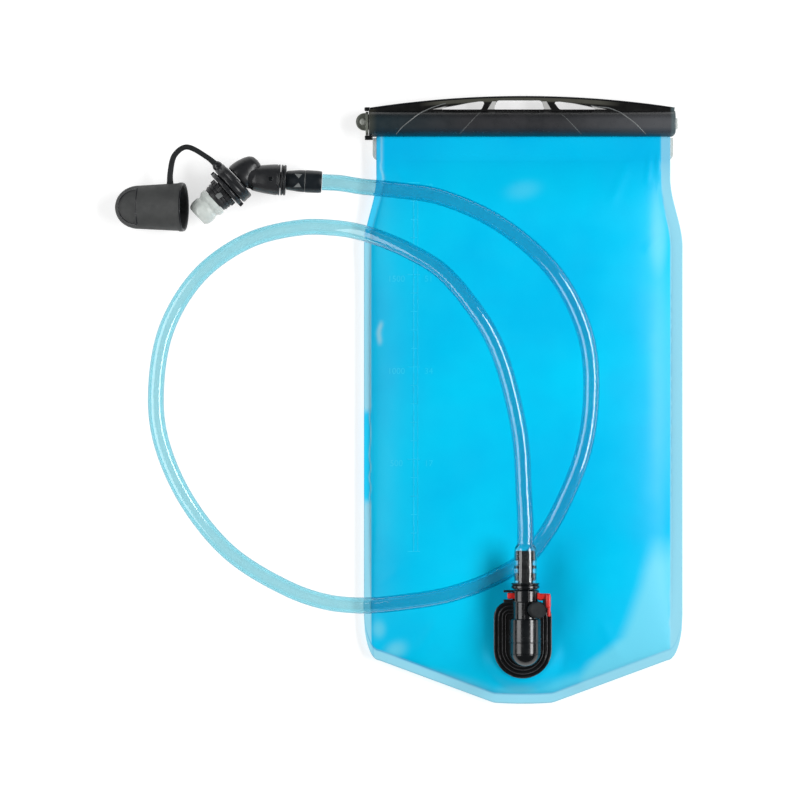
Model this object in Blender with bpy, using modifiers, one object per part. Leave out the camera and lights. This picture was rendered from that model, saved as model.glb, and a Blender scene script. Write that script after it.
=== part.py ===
"""Two litre hydration bladder lying on its back: a welded film bag closed by a slide-on bar,
an outlet port with a quick-release hose coupling, a metre of drink tube and a bite-valve
mouthpiece with a tethered cap.

+X runs along the closing bar, +Y from the outlet towards the bar and +Z up, away from the floor.
The bag's back and the bar lie on z = 0."""

import math

import bmesh
import bpy
import numpy as np
from mathutils import Matrix, Vector

MM = 0.001
GAP = 0.3 * MM
ROUND_STEPS = 24

# Bag
BAG_X = 2.1 * MM
BAG_HALF_WIDTH = 91.8 * MM
MOUTH_HALF_WIDTH = 84.6 * MM
BAG_BOTTOM_Y = -175.0 * MM
BOTTOM_FLAT_HALF = 17.0 * MM
BOTTOM_CORNER = (83.0 * MM, -150.0 * MM)
BOTTOM_CORNER_TOP_Y = -124.0 * MM
SHOULDER_Y = (88.0 * MM, 128.0 * MM)
FILM = 0.5 * MM
SEAM_Z = 4.7 * MM
FRONT_RISE = 15.6 * MM
WELD_LEFT = 4.3 * MM
WELD_RIGHT = 7.0 * MM
WELD_BOTTOM = 6.0 * MM
MOUTH_Y = 138.0 * MM

# Closing bar and rod
BAR_Y = 159.1 * MM
BAR_Z = 7.65 * MM
BAR_R = 7.65 * MM
BAR_BORE_R = 5.5 * MM
BAR_X = (-86.8 * MM, 89.1 * MM)
SLOT_HALF = 1.15 * MM
ROD_R = 3.3 * MM
HANDLE_TOP_Y = 175.0 * MM
HANDLE_END_Y = 168.0 * MM
HANDLE_Z = (5.2 * MM, 10.1 * MM)

# Outlet port and hose coupling, whose axis runs along Y
PORT_FILM_Z = 15.0 * MM
FLANGE_X = 1.6 * MM
FLANGE_SIZE = (33.3 * MM, 44.3 * MM)
FLANGE_TOP_Y = -115.6 * MM
FLANGE_THICK = 2.6 * MM
INLET_Y = -140.0 * MM
AXIS_X = 2.8 * MM
AXIS_Z = 28.6 * MM

# Drink tube
TUBE_R = 4.75 * MM
TUBE_POINTS = 78
# The tube's own route in millimetres, from the coupling to the mouthpiece sleeve.
TUBE_ROUTE = [
    (2.8, -85.7, 28.6),
    (2.8, -72.0, 28.2),
    (2.0, -55.0, 27.2),
    (-0.8, -17.0, 26.8),
    (-14.0, 31.0, 26.8),
    (-30.0, 57.0, 26.2),
    (-46.0, 74.5, 25.0),
    (-63.0, 85.0, 22.0),
    (-81.0, 93.0, 16.4),
    (-95.0, 97.3, 11.0),
    (-109.0, 99.3, 7.2),
    (-126.0, 99.4, 5.2),
    (-156.0, 92.0, 4.9),
    (-184.5, 72.0, 4.9),
    (-203.6, 40.5, 4.9),
    (-209.6, 3.0, 4.9),
    (-206.5, -24.0, 4.9),
    (-192.0, -57.5, 4.9),
    (-166.5, -88.5, 4.9),
    (-132.0, -109.5, 5.0),
    (-112.0, -116.2, 6.2),
    (-98.0, -118.0, 9.2),
    (-84.0, -118.0, 13.0),
    (-66.0, -116.0, 17.4),
    (-46.0, -112.8, 20.6),
    (-33.0, -109.3, 20.8),
    (-20.0, -104.5, 19.6),
    (3.2, -91.3, 17.3),
    (13.5, -78.5, 19.2),
    (22.5, -63.0, 23.2),
    (35.5, -31.0, 26.4),
    (40.4, 0.0, 26.4),
    (37.6, 36.0, 26.6),
    (20.3, 72.0, 26.2),
    (-11.4, 100.6, 24.6),
    (-46.0, 116.4, 21.2),
    (-70.0, 120.4, 17.4),
    (-92.0, 122.8, 14.2),
    (-103.0, 124.6, 14.0),
    (-113.6, 125.2, 14.0),
]

# Mouthpiece, whose swivel axis runs along the hose end and whose valve axis turns off at an angle
PIECE_Z = 14.0 * MM
HOSE_END = (-113.9 * MM, 125.2 * MM)
HOSE_END_ANGLE = math.radians(3.0)
VALVE_ANGLE = math.radians(43.0)
VALVE_CENTRE = (-168.4 * MM, 121.3 * MM)

# Cap
CAP_MOUTH = (-193.0 * MM, 110.9 * MM)
CAP_LENGTH = 40.2 * MM
CAP_MOUTH_R = 13.9 * MM
CAP_WALL = 1.5 * MM
CAP_TILT = math.radians(9.0)


# ---------------------------------------------------------------- materials and modelling helpers


def new_material(name, colour, roughness, metallic=0.0, alpha=1.0):
    made = bpy.data.materials.new(name)
    made.use_nodes = True
    shader = made.node_tree.nodes["Principled BSDF"]
    shader.inputs["Base Color"].default_value = (*colour, 1.0)
    shader.inputs["Roughness"].default_value = roughness
    shader.inputs["Metallic"].default_value = metallic
    shader.inputs["Alpha"].default_value = alpha
    return made


def new_object(name, mesh, look, group):
    made = bpy.data.objects.new(name, mesh)
    if look is not None:
        mesh.materials.append(look)
    group.objects.link(made)
    if group is HELPERS:
        made.hide_render = True
        made.display_type = "WIRE"
    return made


def mesh_from(form, name):
    mesh = bpy.data.meshes.new(name)
    form.to_mesh(mesh)
    form.free()
    return mesh


def frame_along(direction, origin):
    """A matrix whose +Z runs along direction from origin."""
    turn = Vector(direction).to_track_quat("Z", "Y").to_matrix().to_4x4()
    return Matrix.Translation(Vector(origin)) @ turn


def box(name, low, high, look=None, group=None, bevel=0.0):
    form = bmesh.new()
    bmesh.ops.create_cube(form, size=1.0)
    low, high = Vector(low), Vector(high)
    for vert in form.verts:
        vert.co = Vector(
            (low[i] + (vert.co[i] + 0.5) * (high[i] - low[i])) for i in range(3)
        )
    made = new_object(name, mesh_from(form, name), look, group or HELPERS)
    if bevel:
        edge = made.modifiers.new("Rounded edges", "BEVEL")
        edge.width = bevel
        edge.segments = 2
    return made


def turned(name, profile, place, look=None, group=None, steps=ROUND_STEPS, closed=False):
    """A turned solid about the place's Z axis. The profile's points are (radius, height), down the
    outer side first; a closed profile comes back up its inner side."""
    form = bmesh.new()
    verts = [form.verts.new((radius, 0.0, height)) for radius, height in profile]
    for first, second in zip(verts, verts[1:]):
        form.edges.new((first, second))
    if closed:
        form.edges.new((verts[-1], verts[0]))
    made = new_object(name, mesh_from(form, name), look, group or HELPERS)
    made.matrix_world = place
    screw = made.modifiers.new("Turned", "SCREW")
    screw.axis = "Z"
    screw.steps = steps
    screw.render_steps = steps
    screw.use_merge_vertices = True
    screw.merge_threshold = 0.00001
    screw.use_smooth_shade = True
    return made


def rod(name, radius, start, end, look=None, group=None, steps=ROUND_STEPS):
    run = Vector(end) - Vector(start)
    profile = [(0.0, run.length), (radius, run.length), (radius, 0.0), (0.0, 0.0)]
    return turned(name, profile, frame_along(run, start), look, group, steps)


def plate(name, outline, thickness, place, look=None, group=None, holes=()):
    """A flat plate with its outline in the place's XY plane, centred on it."""
    curve = bpy.data.curves.new(name, "CURVE")
    curve.dimensions = "2D"
    curve.fill_mode = "BOTH"
    curve.extrude = thickness / 2
    for loop in (outline, *holes):
        spline = curve.splines.new("POLY")
        spline.points.add(len(loop) - 1)
        for point, (x, y) in zip(spline.points, loop):
            point.co = (x, y, 0.0, 1.0)
        spline.use_cyclic_u = True
    made = bpy.data.objects.new(name + " outline", curve)
    bpy.context.scene.collection.objects.link(made)
    bpy.context.view_layer.update()
    graph = bpy.context.evaluated_depsgraph_get()
    mesh = bpy.data.meshes.new_from_object(made.evaluated_get(graph))
    bpy.data.objects.remove(made)
    form = bmesh.new()
    form.from_mesh(mesh)
    bmesh.ops.remove_doubles(form, verts=form.verts, dist=0.000005)
    bmesh.ops.recalc_face_normals(form, faces=form.faces)
    form.to_mesh(mesh)
    form.free()
    mesh.materials.clear()
    solid = new_object(name, mesh, look, group or HELPERS)
    solid.matrix_world = place
    return solid


def boolean(target, other, operation):
    step = target.modifiers.new(operation.title() + " " + other.name, "BOOLEAN")
    step.operation = operation
    step.object = other
    return target


def cut(target, *others):
    for other in others:
        boolean(target, other, "DIFFERENCE")
    return target


def join(target, *others):
    for other in others:
        boolean(target, other, "UNION")
    return target


def arc(centre, radius, start, end, count):
    """Points on an arc, with angles in degrees."""
    return [
        (centre[0] + radius * math.cos(a), centre[1] + radius * math.sin(a))
        for a in np.radians(np.linspace(start, end, count))
    ]


def smooth_path(points, count):
    """Evenly spaced points on a smooth curve through the given ones."""
    points = np.array(points, float)
    steps = np.linalg.norm(np.diff(points, axis=0), axis=1) ** 0.5
    knots = np.concatenate([[0.0], np.cumsum(steps)])
    padded = np.vstack([2 * points[0] - points[1], points, 2 * points[-1] - points[-2]])
    times = np.concatenate([[-steps[0]], knots, [knots[-1] + steps[-1]]])
    fine = []
    for i in range(1, len(padded) - 2):
        p0, p1, p2, p3 = padded[i - 1 : i + 3]
        t0, t1, t2, t3 = times[i - 1 : i + 3]
        for t in np.linspace(t1, t2, 24, endpoint=False):
            a1 = ((t1 - t) * p0 + (t - t0) * p1) / (t1 - t0)
            a2 = ((t2 - t) * p1 + (t - t1) * p2) / (t2 - t1)
            a3 = ((t3 - t) * p2 + (t - t2) * p3) / (t3 - t2)
            b1 = ((t2 - t) * a1 + (t - t0) * a2) / (t2 - t0)
            b2 = ((t3 - t) * a2 + (t - t1) * a3) / (t3 - t1)
            fine.append(((t2 - t) * b1 + (t - t1) * b2) / (t2 - t1))
    fine = np.array(fine + [points[-1]])
    length = np.concatenate([[0.0], np.cumsum(np.linalg.norm(np.diff(fine, axis=0), axis=1))])
    wanted = np.linspace(0.0, length[-1], count)
    return np.column_stack([np.interp(wanted, length, fine[:, i]) for i in range(3)])


def wire(name, points, radius, look, group, sides=2):
    curve = bpy.data.curves.new(name, "CURVE")
    curve.dimensions = "3D"
    curve.bevel_depth = radius
    curve.bevel_resolution = sides
    curve.use_fill_caps = True
    spline = curve.splines.new("POLY")
    spline.points.add(len(points) - 1)
    for point, place in zip(spline.points, points):
        point.co = (*place, 1.0)
    curve.materials.append(look)
    made = bpy.data.objects.new(name, curve)
    group.objects.link(made)
    return made


def coil(radius, length, turns, place, per_turn=10):
    """Points of a coil about the place's Z axis."""
    count = int(turns * per_turn) + 1
    return [
        place
        @ Vector((
            radius * math.cos(2 * math.pi * i / per_turn),
            radius * math.sin(2 * math.pi * i / per_turn),
            length * i / (count - 1),
        ))
        for i in range(count)
    ]


# ---------------------------------------------------------------- the film bag


def ease(t):
    t = min(max(t, 0.0), 1.0)
    return t * t * (3.0 - 2.0 * t)


def shoulder(t):
    """How a filled film rises from its weld, 0 at the weld and 1 on the crown."""
    if t <= 0.0:
        return 0.0
    return (1.0 - (1.0 - min(t, 1.0)) ** 2.4) ** 0.62


def half_width(y):
    low, high = SHOULDER_Y
    return BAG_HALF_WIDTH + (MOUTH_HALF_WIDTH - BAG_HALF_WIDTH) * ease((y - low) / (high - low))


def bottom_y(u):
    """The bag's lower outline: flat, then slanted, then a rounded corner up to the side."""
    x = abs(u) * BAG_HALF_WIDTH
    corner_x, corner_y = BOTTOM_CORNER
    if x <= BOTTOM_FLAT_HALF:
        return BAG_BOTTOM_Y + 0.6 * MM * (x / BOTTOM_FLAT_HALF) ** 2
    if x <= corner_x:
        t = (x - BOTTOM_FLAT_HALF) / (corner_x - BOTTOM_FLAT_HALF)
        return BAG_BOTTOM_Y + 0.6 * MM + t * (corner_y - BAG_BOTTOM_Y - 0.6 * MM)
    t = (x - corner_x) / (BAG_HALF_WIDTH - corner_x)
    return corner_y + (1.0 - math.sqrt(1.0 - t * t)) * (BOTTOM_CORNER_TOP_Y - corner_y)


def seam_z(y):
    return SEAM_Z + (BAR_Z - SEAM_Z) * ease((y - 60 * MM) / (MOUTH_Y - 60 * MM))


def filled(x, y):
    """0 on the welds and at the mouth, 1 where the film is fully raised."""
    side = BAG_X - x
    weld = WELD_LEFT if side > 0 else WELD_RIGHT
    u = (x - BAG_X) / half_width(y)
    from_side = half_width(y) - abs(side) - weld
    from_bottom = y - bottom_y(u) - WELD_BOTTOM
    from_mouth = MOUTH_Y - y
    return (
        shoulder(from_side / (74 * MM))
        * shoulder(from_bottom / (130 * MM))
        * shoulder(from_mouth / (105 * MM))
    )


def from_flange(x, y):
    """Distance outside the outlet flange's outline, 0 inside it."""
    half = FLANGE_SIZE[0] / 2
    low = FLANGE_TOP_Y - FLANGE_SIZE[1] + half
    high = FLANGE_TOP_Y - 9 * MM
    up = y - min(max(y, low), high)
    radius = half if y < high else 9 * MM
    across = max(abs(x - FLANGE_X) - (half - radius), 0.0)
    return max(math.hypot(across, up) - radius, 0.0)


def front_z(x, y):
    """Middle of the front film: filled, pressed down under the crossing tube, flat at the port."""
    z = seam_z(y) + (FILM + GAP) / 2 + FRONT_RISE * filled(x, y)
    dent = math.exp(-(((x - 3 * MM) / (44 * MM)) ** 2) - ((y + 92 * MM) / (31 * MM)) ** 2)
    z += (11.3 * MM - z) * dent * ease(filled(x, y) * 2)
    flat = 1.0 - ease(from_flange(x, y) / (8.5 * MM))
    return z + (PORT_FILM_Z - FILM / 2 - z) * flat


def back_z(x, y):
    z = seam_z(y) - (FILM + GAP) / 2
    return z - (z - FILM / 2) * min(1.0, 1.25 * filled(x, y))


def mouth_wrap(radius, start):
    """The film's folded mouth inside the bar: under the closing rod, round it and over its front."""
    angles = np.radians(np.linspace(start, 290.0, 11))
    return [(BAR_Y - radius * math.cos(a), BAR_Z - radius * math.sin(a)) for a in angles]


def film(name, height, wrap, look, group, columns=20, rows=28):
    form = bmesh.new()
    across = [math.sin(math.pi / 2 * t) for t in np.linspace(-1.0, 1.0, columns + 1)]
    grid = []
    for i in range(rows + 1):
        t = i / rows
        t = 0.35 * t + 0.65 * (0.5 - 0.5 * math.cos(math.pi * t))
        line = []
        for u in across:
            low = bottom_y(u)
            y = low + t * (MOUTH_Y - low)
            x = BAG_X + u * half_width(y)
            line.append(form.verts.new((x, y, height(x, y))))
        grid.append(line)
    for y, z in wrap:
        line = [form.verts.new((BAG_X + u * MOUTH_HALF_WIDTH, y, z)) for u in across]
        grid.append(line)
    for lower, upper in zip(grid, grid[1:]):
        for j in range(columns):
            form.faces.new((lower[j], lower[j + 1], upper[j + 1], upper[j]))
    for face in form.faces:
        face.smooth = True
    made = new_object(name, mesh_from(form, name), look, group)
    thick = made.modifiers.new("Film thickness", "SOLIDIFY")
    thick.thickness = FILM
    thick.offset = 0.0
    return made


def build_bag():
    pinch_front = BAR_Z + (FILM + GAP) / 2
    pinch_back = BAR_Z - (FILM + GAP) / 2
    lead_in = [145.0 * MM, 151.4 * MM, 153.6 * MM]
    front = film(
        "front_film",
        front_z,
        [(y, pinch_front) for y in lead_in] + mouth_wrap(4.15 * MM, 50.0),
        FILM_BLUE,
        PARTS,
    )
    hole = rod("port_hole", 4.7 * MM, (AXIS_X, INLET_Y, 10 * MM), (AXIS_X, INLET_Y, 20 * MM))
    cut(front, hole)
    film(
        "back_film",
        back_z,
        [(y, pinch_back) for y in lead_in] + mouth_wrap(4.95 * MM, 40.0),
        FILM_BLUE,
        PARTS,
    )
    low, high = (-84.7 * MM, MOUTH_Y), (88.5 * MM, 151.0 * MM)
    radius = 3.5 * MM
    outline = (
        [(low[0], high[1])]
        + arc((low[0] + radius, low[1] + radius), radius, 180, 270, 6)
        + arc((high[0] - radius, low[1] + radius), radius, 270, 360, 6)
        + [(high[0], high[1])]
    )
    place = Matrix.Translation((0.0, 0.0, pinch_back - FILM / 2 - GAP - 0.6 * MM))
    plate("mouth_stiffener", outline, 1.2 * MM, place, CLEAR, PARTS)


# ---------------------------------------------------------------- the closing bar


def build_bar():
    tilt = math.degrees(math.asin(SLOT_HALF / BAR_R))
    tilt_in = math.degrees(math.asin(SLOT_HALF / BAR_BORE_R))
    ring = arc((0.0, 0.0), BAR_R, -180 + tilt, 180 - tilt, 33) + arc(
        (0.0, 0.0), BAR_BORE_R, 180 - tilt_in, -180 + tilt_in, 27
    )
    along_x = Matrix(((0, 0, 1, 0), (1, 0, 0, 0), (0, 1, 0, 0), (0, 0, 0, 1)))
    centre = Vector((sum(BAR_X) / 2, BAR_Y, BAR_Z))
    bar = plate(
        "slide_bar", ring, BAR_X[1] - BAR_X[0], Matrix.Translation(centre) @ along_x, SMOKE, PARTS
    )
    web = plate(
        "handle_web",
        handle_outline(),
        HANDLE_Z[1] - HANDLE_Z[0],
        Matrix.Translation((0.0, 0.0, sum(HANDLE_Z) / 2)),
        holes=handle_windows(),
    )
    lug_low = Vector((-89.2, 149.5, 9.0)) * MM
    lug = box("stop_lug", lug_low, Vector((-84.6, 152.0, 12.4)) * MM)
    root_low = Vector((-86.7, 151.0, 9.0)) * MM
    lug_root = box("stop_lug_root", root_low, Vector((-84.6, 153.6, 12.4)) * MM)
    join(bar, web, lug, lug_root)

    rod(
        "closing_rod",
        ROD_R,
        (BAR_X[0], BAR_Y, BAR_Z),
        (90.4 * MM, BAR_Y, BAR_Z),
        CLEAR,
        PARTS,
        20,
    )
    stop = rod(
        "rod_end_stop",
        6.9 * MM,
        (-88.7 * MM, BAR_Y, BAR_Z),
        (BAR_X[0] - GAP, BAR_Y, BAR_Z),
        CLEAR,
        PARTS,
    )
    eye = Vector((-89.3, 160.1, BAR_Z / MM)) * MM
    lug_half = Vector((0.0, 0.0, 2.2 * MM))
    boss_half = Vector((0.0, 0.0, 2.8 * MM))
    boss = eye + Vector((-1.1 * MM, 0.0, 0.0))
    join(
        stop,
        rod("eye_plate", 5.0 * MM, eye - lug_half, eye + lug_half),
        rod("eye_boss", 1.9 * MM, boss - boss_half, boss + boss_half, steps=16),
    )
    trim = box("eye_trim", (BAR_X[0] - GAP, 0.1, -0.01), (BAR_X[0] + 0.02, 0.2, 0.03))
    cut(stop, trim)


def handle_outline():
    """The arched top rail, down to a foot inside the bar's wall."""
    left, right = -89.2 * MM, BAR_X[1]
    rise = HANDLE_TOP_Y - HANDLE_END_Y
    middle = 2.0 * MM
    top = [
        (x, HANDLE_TOP_Y - rise * ((x - middle) / (90.0 * MM)) ** 2)
        for x in np.linspace(left, right, 25)
    ]
    foot = BAR_Y + 6.5 * MM
    lip = BAR_Y + 7.9 * MM
    end = BAR_X[0] + 0.2 * MM
    return top[::-1] + [(left, lip), (end, lip), (end, foot), (right, foot)]


def handle_windows():
    left = [(-44.7, 167.3), (-33.2, 169.6), (-24.0, 171.4), (-20.8, 171.3), (-21.7, 167.2)]
    middle = [(-14.5, 167.2), (-13.1, 171.6), (-11.6, 172.2), (11.2, 172.2), (12.6, 171.6), (13.9, 167.2)]
    right = [(22.5, 167.2), (19.8, 171.1), (21.0, 171.5), (31.7, 170.3), (43.2, 167.2)]
    return [[(x * MM, y * MM) for x, y in loop] for loop in (left, middle, right)]


# ---------------------------------------------------------------- the outlet port and coupling


def build_port():
    half = FLANGE_SIZE[0] / 2
    corner = 9.0 * MM
    low = FLANGE_TOP_Y - FLANGE_SIZE[1] + half
    high = FLANGE_TOP_Y - corner

    def oval(inset):
        inner = half - inset
        return (
            arc((FLANGE_X, low), inner, 180, 360, 21)
            + arc((FLANGE_X + half - corner, high), corner - inset, 0, 90, 6)
            + arc((FLANGE_X - half + corner, high), corner - inset, 90, 180, 6)
        )

    base_z = PORT_FILM_Z + GAP
    flange = plate(
        "port_flange",
        oval(0.0),
        FLANGE_THICK,
        Matrix.Translation((0.0, 0.0, base_z + FLANGE_THICK / 2)),
        BLACK,
        PARTS,
    )
    rib = plate(
        "flange_rib",
        oval(2.2 * MM),
        1.6 * MM,
        Matrix.Translation((0.0, 0.0, base_z + FLANGE_THICK)),
        holes=[oval(4.2 * MM)[::-1]],
    )
    inlet = rod(
        "flange_inlet", 4.4 * MM, (AXIS_X, INLET_Y, base_z - 0.01), (AXIS_X, INLET_Y, base_z + 0.02)
    )
    join(flange, rib)
    cut(flange, inlet)

    nose = [
        (8.5 * MM * math.cos(a), -143.9 * MM - 8.5 * MM * math.sin(a))
        for a in np.radians(np.linspace(0, 90, 8))
    ]
    nose[-1] = (0.0, nose[-1][1])
    inner = [(0.0, -149.2), (6.0, -149.2), (6.0, -128.0), (4.8, -127.4), (4.8, -108.6)]
    outer = [(7.0, -108.6), (7.0, -125.1), (8.5, -125.7)]
    profile = [(r * MM, y * MM) for r, y in inner + outer] + nose
    along = frame_along((0.0, 1.0, 0.0), (AXIS_X, 0.0, AXIS_Z))
    housing = turned("port_housing", profile, along, BLACK, PARTS)
    head = port_box("housing_head", (-7.2, -115.6, -8.2), (7.2, -108.6, 8.2), bevel=1.5 * MM)
    upper_fin = port_box("upper_fin", (-12.6, -109.9, -3.0), (-6.5, -108.6, 3.0))
    lower_fin = port_box("lower_fin", (-12.6, -115.6, -3.0), (-6.5, -113.9, 3.0))
    saddle = port_box("housing_saddle", (-4.5, -147.0, -10.4), (4.5, -124.0, -7.2))
    pipe_top = AXIS_Z - 7.0 * MM
    pipe_low = PORT_FILM_Z - 2.0 * MM
    pipe = rod("inlet_pipe", 3.9 * MM, (AXIS_X, INLET_Y, pipe_low), (AXIS_X, INLET_Y, pipe_top))
    join(housing, head, upper_fin, lower_fin, saddle, pipe)
    bore = rod("socket_bore", 4.8 * MM, (AXIS_X, -129 * MM, AXIS_Z), (AXIS_X, -100 * MM, AXIS_Z))
    slot = port_box("latch_slot", (-20.0, -113.9, -6.6), (20.0, -109.9, 6.6))
    feed = rod("inlet_bore", 2.8 * MM, (AXIS_X, INLET_Y, pipe_low - 0.005), (AXIS_X, INLET_Y, AXIS_Z))
    cut(housing, bore, slot, feed)

    poppet = [(0.0, -121.3), (2.6, -121.3), (3.0, -121.8), (3.0, -134.0), (5.6, -134.0), (5.6, -136.4)]
    poppet += [(2.0, -136.4), (2.0, -140.0), (0.0, -140.0)]
    turned("shutoff_poppet", in_mm(poppet), along, WHITE, PARTS, 20)
    ring("poppet_seal", 4.5 * MM, 0.7 * MM, along @ Matrix.Translation((0, 0, -133.0 * MM)))
    spring_place = frame_along((0.0, 1.0, 0.0), (AXIS_X, -148.3 * MM, AXIS_Z))
    wire("poppet_spring", coil(3.6 * MM, 11.0 * MM, 4.5, spring_place), 0.4 * MM, STEEL, PARTS)

    build_latch()
    return along


def in_mm(points):
    return [(r * MM, h * MM) for r, h in points]


def port_box(name, low, high, look=None, group=None, bevel=0.0):
    """A box whose x and z are measured from the coupling's axis, in millimetres."""
    shift = Vector((AXIS_X, 0.0, AXIS_Z))
    return box(name, Vector(low) * MM + shift, Vector(high) * MM + shift, look, group, bevel)


def ring(name, major, minor, place, look=None):
    angles = np.linspace(0, 2 * math.pi, 9)[:-1]
    profile = [(major + minor * math.cos(a), -minor * math.sin(a)) for a in angles]
    return turned(name, profile, place, look or RUBBER, PARTS, 20, closed=True)


def build_latch():
    latch = port_box("latch_yoke", (-6.5, -113.6, -6.2), (8.4, -110.2, 6.2), RED, PARTS)
    window = port_box("yoke_window", (-4.7, -115.0, -4.65), (6.8, -109.0, 4.65))
    tongue = port_box("yoke_tongue", (-10.4, -113.6, -2.6), (-5.5, -110.2, 2.6))
    bar = port_box("yoke_bar", (7.6, -113.6, -2.8), (14.2, -110.2, 2.8))
    tab = port_box("yoke_tab", (12.8, -123.6, -1.4), (14.2, -112.0, 5.0))
    cut(latch, window)
    join(latch, tongue, bar, tab)

    lean = math.radians(45.0)
    outward = Vector((math.cos(lean), 0.0, math.sin(lean)))
    centre = Vector((AXIS_X, -120.4 * MM, AXIS_Z)) + outward * 10.1 * MM
    oval = [
        (5.6 * MM * math.cos(a), 4.5 * MM * math.sin(a))
        for a in np.linspace(0, 2 * math.pi, 25)[:-1]
    ]
    along = Vector((math.sin(lean), 0.0, -math.cos(lean)))
    side = outward.cross(along)
    place = Matrix.Translation(centre) @ Matrix((along, side, outward)).transposed().to_4x4()
    plate("thumb_pad", oval, 2.6 * MM, place, RUBBER, PARTS)
    start = Vector((AXIS_X + 7.5 * MM, -119.5 * MM, AXIS_Z))
    points = coil(1.2 * MM, 4.7 * MM, 3.0, frame_along((1.0, 0.0, 0.0), start), 8)
    wire("latch_spring", points, 0.25 * MM, STEEL, PARTS)


def build_hose(along):
    outer = [(5.2, -86.0), (6.3, -91.8), (4.2, -91.8), (4.2, -94.6), (6.2, -94.9), (6.2, -96.4)]
    outer += [(4.2, -96.6), (4.2, -99.3), (5.6, -99.5), (6.2, -103.5), (4.2, -103.5), (4.2, -105.4)]
    outer += [(8.05, -105.4), (8.05, -108.3), (4.2, -108.3), (4.2, -109.7), (3.6, -110.0)]
    outer += [(3.6, -113.8), (4.2, -114.1), (4.2, -115.6), (2.9, -115.8), (2.9, -117.6)]
    outer += [(4.2, -117.8), (4.2, -120.4), (3.6, -121.0)]
    inner = [(2.1, -121.0), (2.1, -86.0)]
    turned("hose_coupling", in_mm(outer + inner), along, BLACK, PARTS, closed=True)
    ring("coupling_o_ring", 3.75 * MM, 0.65 * MM, along @ Matrix.Translation((0, 0, -116.7 * MM)))
    route = smooth_path([[c * MM for c in point] for point in TUBE_ROUTE], TUBE_POINTS)
    wire("drink_tube", route, TUBE_R, CLEAR_BLUE, PARTS, sides=2)


# ---------------------------------------------------------------- the mouthpiece


def build_mouthpiece():
    hose_way = Vector((-math.cos(HOSE_END_ANGLE), math.sin(HOSE_END_ANGLE), 0.0))
    start = Vector((*HOSE_END, PIECE_Z))
    hose = frame_along(-hose_way, start) @ Matrix.Rotation(math.pi, 4, "X")
    sleeve = [(6.2, 0.0), (6.2, 20.2), (5.1, 20.2), (5.1, 0.0)]
    turned("hose_sleeve", in_mm(sleeve)[::-1], hose, BLACK, PARTS, closed=True)
    barb = [(4.0, 30.6), (3.0, 30.4), (3.0, 28.4), (4.3, 28.2), (4.3, 25.2), (4.7, 24.8), (4.7, 1.0)]
    barb += [(2.2, 1.0), (2.2, 30.6)]
    turned("swivel_barb", in_mm(barb), hose, BLACK, PARTS, 20, closed=True)
    collar = [(8.9, 23.5), (8.9, 20.6), (5.2, 20.6), (5.2, 23.5)]
    turned("swivel_collar", in_mm(collar), hose, BLACK, PARTS, closed=True)
    ring("swivel_o_ring", 3.95 * MM, 0.6 * MM, hose @ Matrix.Translation((0, 0, 29.4 * MM)))

    barrel = [(0.0, 42.0), (4.0, 42.0), (6.6, 40.6), (7.3, 38.5), (8.4, 32.0), (9.0, 26.0), (9.0, 23.9)]
    barrel += [(5.2, 23.9), (5.2, 32.0), (0.0, 32.0)]
    elbow = turned("elbow_body", in_mm(barrel), hose, BLACK, PARTS)
    valve_way = Vector((-math.cos(VALVE_ANGLE), -math.sin(VALVE_ANGLE), 0.0))
    valve = frame_along(valve_way, (*VALVE_CENTRE, PIECE_Z))
    heel = [(0.0, -8.8), (7.8, -8.8), (8.1, -9.6), (7.5, -12.5), (6.4, -17.5), (4.6, -21.6), (2.4, -23.6)]
    heel += [(0.0, -24.0)]
    join(elbow, turned("elbow_heel", in_mm(heel), valve))
    passage = (start + hose_way * 30 * MM, start + hose_way * 49 * MM)
    passage = rod("elbow_passage", 2.0 * MM, *passage, steps=14)
    cut(elbow, passage)

    body = [(4.8, 16.0), (4.8, 9.6), (6.0, 9.5), (6.0, 1.4), (11.4, 1.4), (11.9, 0.9), (11.9, -0.9)]
    body += [(11.4, -1.4), (9.4, -1.4), (9.4, -8.0), (8.9, -8.5), (5.9, -8.5), (5.9, -6.6)]
    body += [(3.3, -6.6), (3.3, -8.5), (2.2, -8.5), (2.2, 16.0)]
    turned("valve_body", in_mm(body), valve, BLACK, PARTS, closed=True)
    ring("valve_seal", 4.6 * MM, 0.7 * MM, valve @ Matrix.Translation((0, 0, -7.6 * MM)))
    nut = [(7.9, 9.4), (7.9, 8.2), (8.5, 8.0), (8.5, 6.2), (8.9, 6.0), (8.9, 1.7), (6.3, 1.7), (6.3, 9.4)]
    turned("retaining_nut", in_mm(nut), valve, BLACK, PARTS, closed=True)
    bite = [(0.0, 23.3), (4.6, 23.3), (5.8, 22.6), (7.7, 20.0), (7.9, 18.3), (7.4, 15.8), (7.5, 14.6)]
    bite += [(8.6, 13.0), (8.6, 11.0), (8.2, 9.9), (5.1, 9.9), (5.1, 16.3), (4.3, 20.4), (0.0, 21.0)]
    turned("bite_valve", in_mm(bite), valve, SILICONE, PARTS)

    loop = [(12.1, -1.9), (12.4, -2.4), (12.4, -7.6), (12.0, -8.2), (9.7, -8.2), (9.7, -1.9)]
    tether_ring = turned("tether_ring", in_mm(loop), valve, BLACK, PARTS, closed=True)
    across = Vector((-math.sin(VALVE_ANGLE), math.cos(VALVE_ANGLE), 0.0))
    middle = Vector((*VALVE_CENTRE, PIECE_Z)) - valve_way * 5.0 * MM
    lug = rod("ring_lug", 2.7 * MM, middle + across * 11.0 * MM, middle + across * 15.4 * MM, steps=16)
    join(tether_ring, lug)
    build_cap(middle + across * 15.7 * MM, across)


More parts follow.
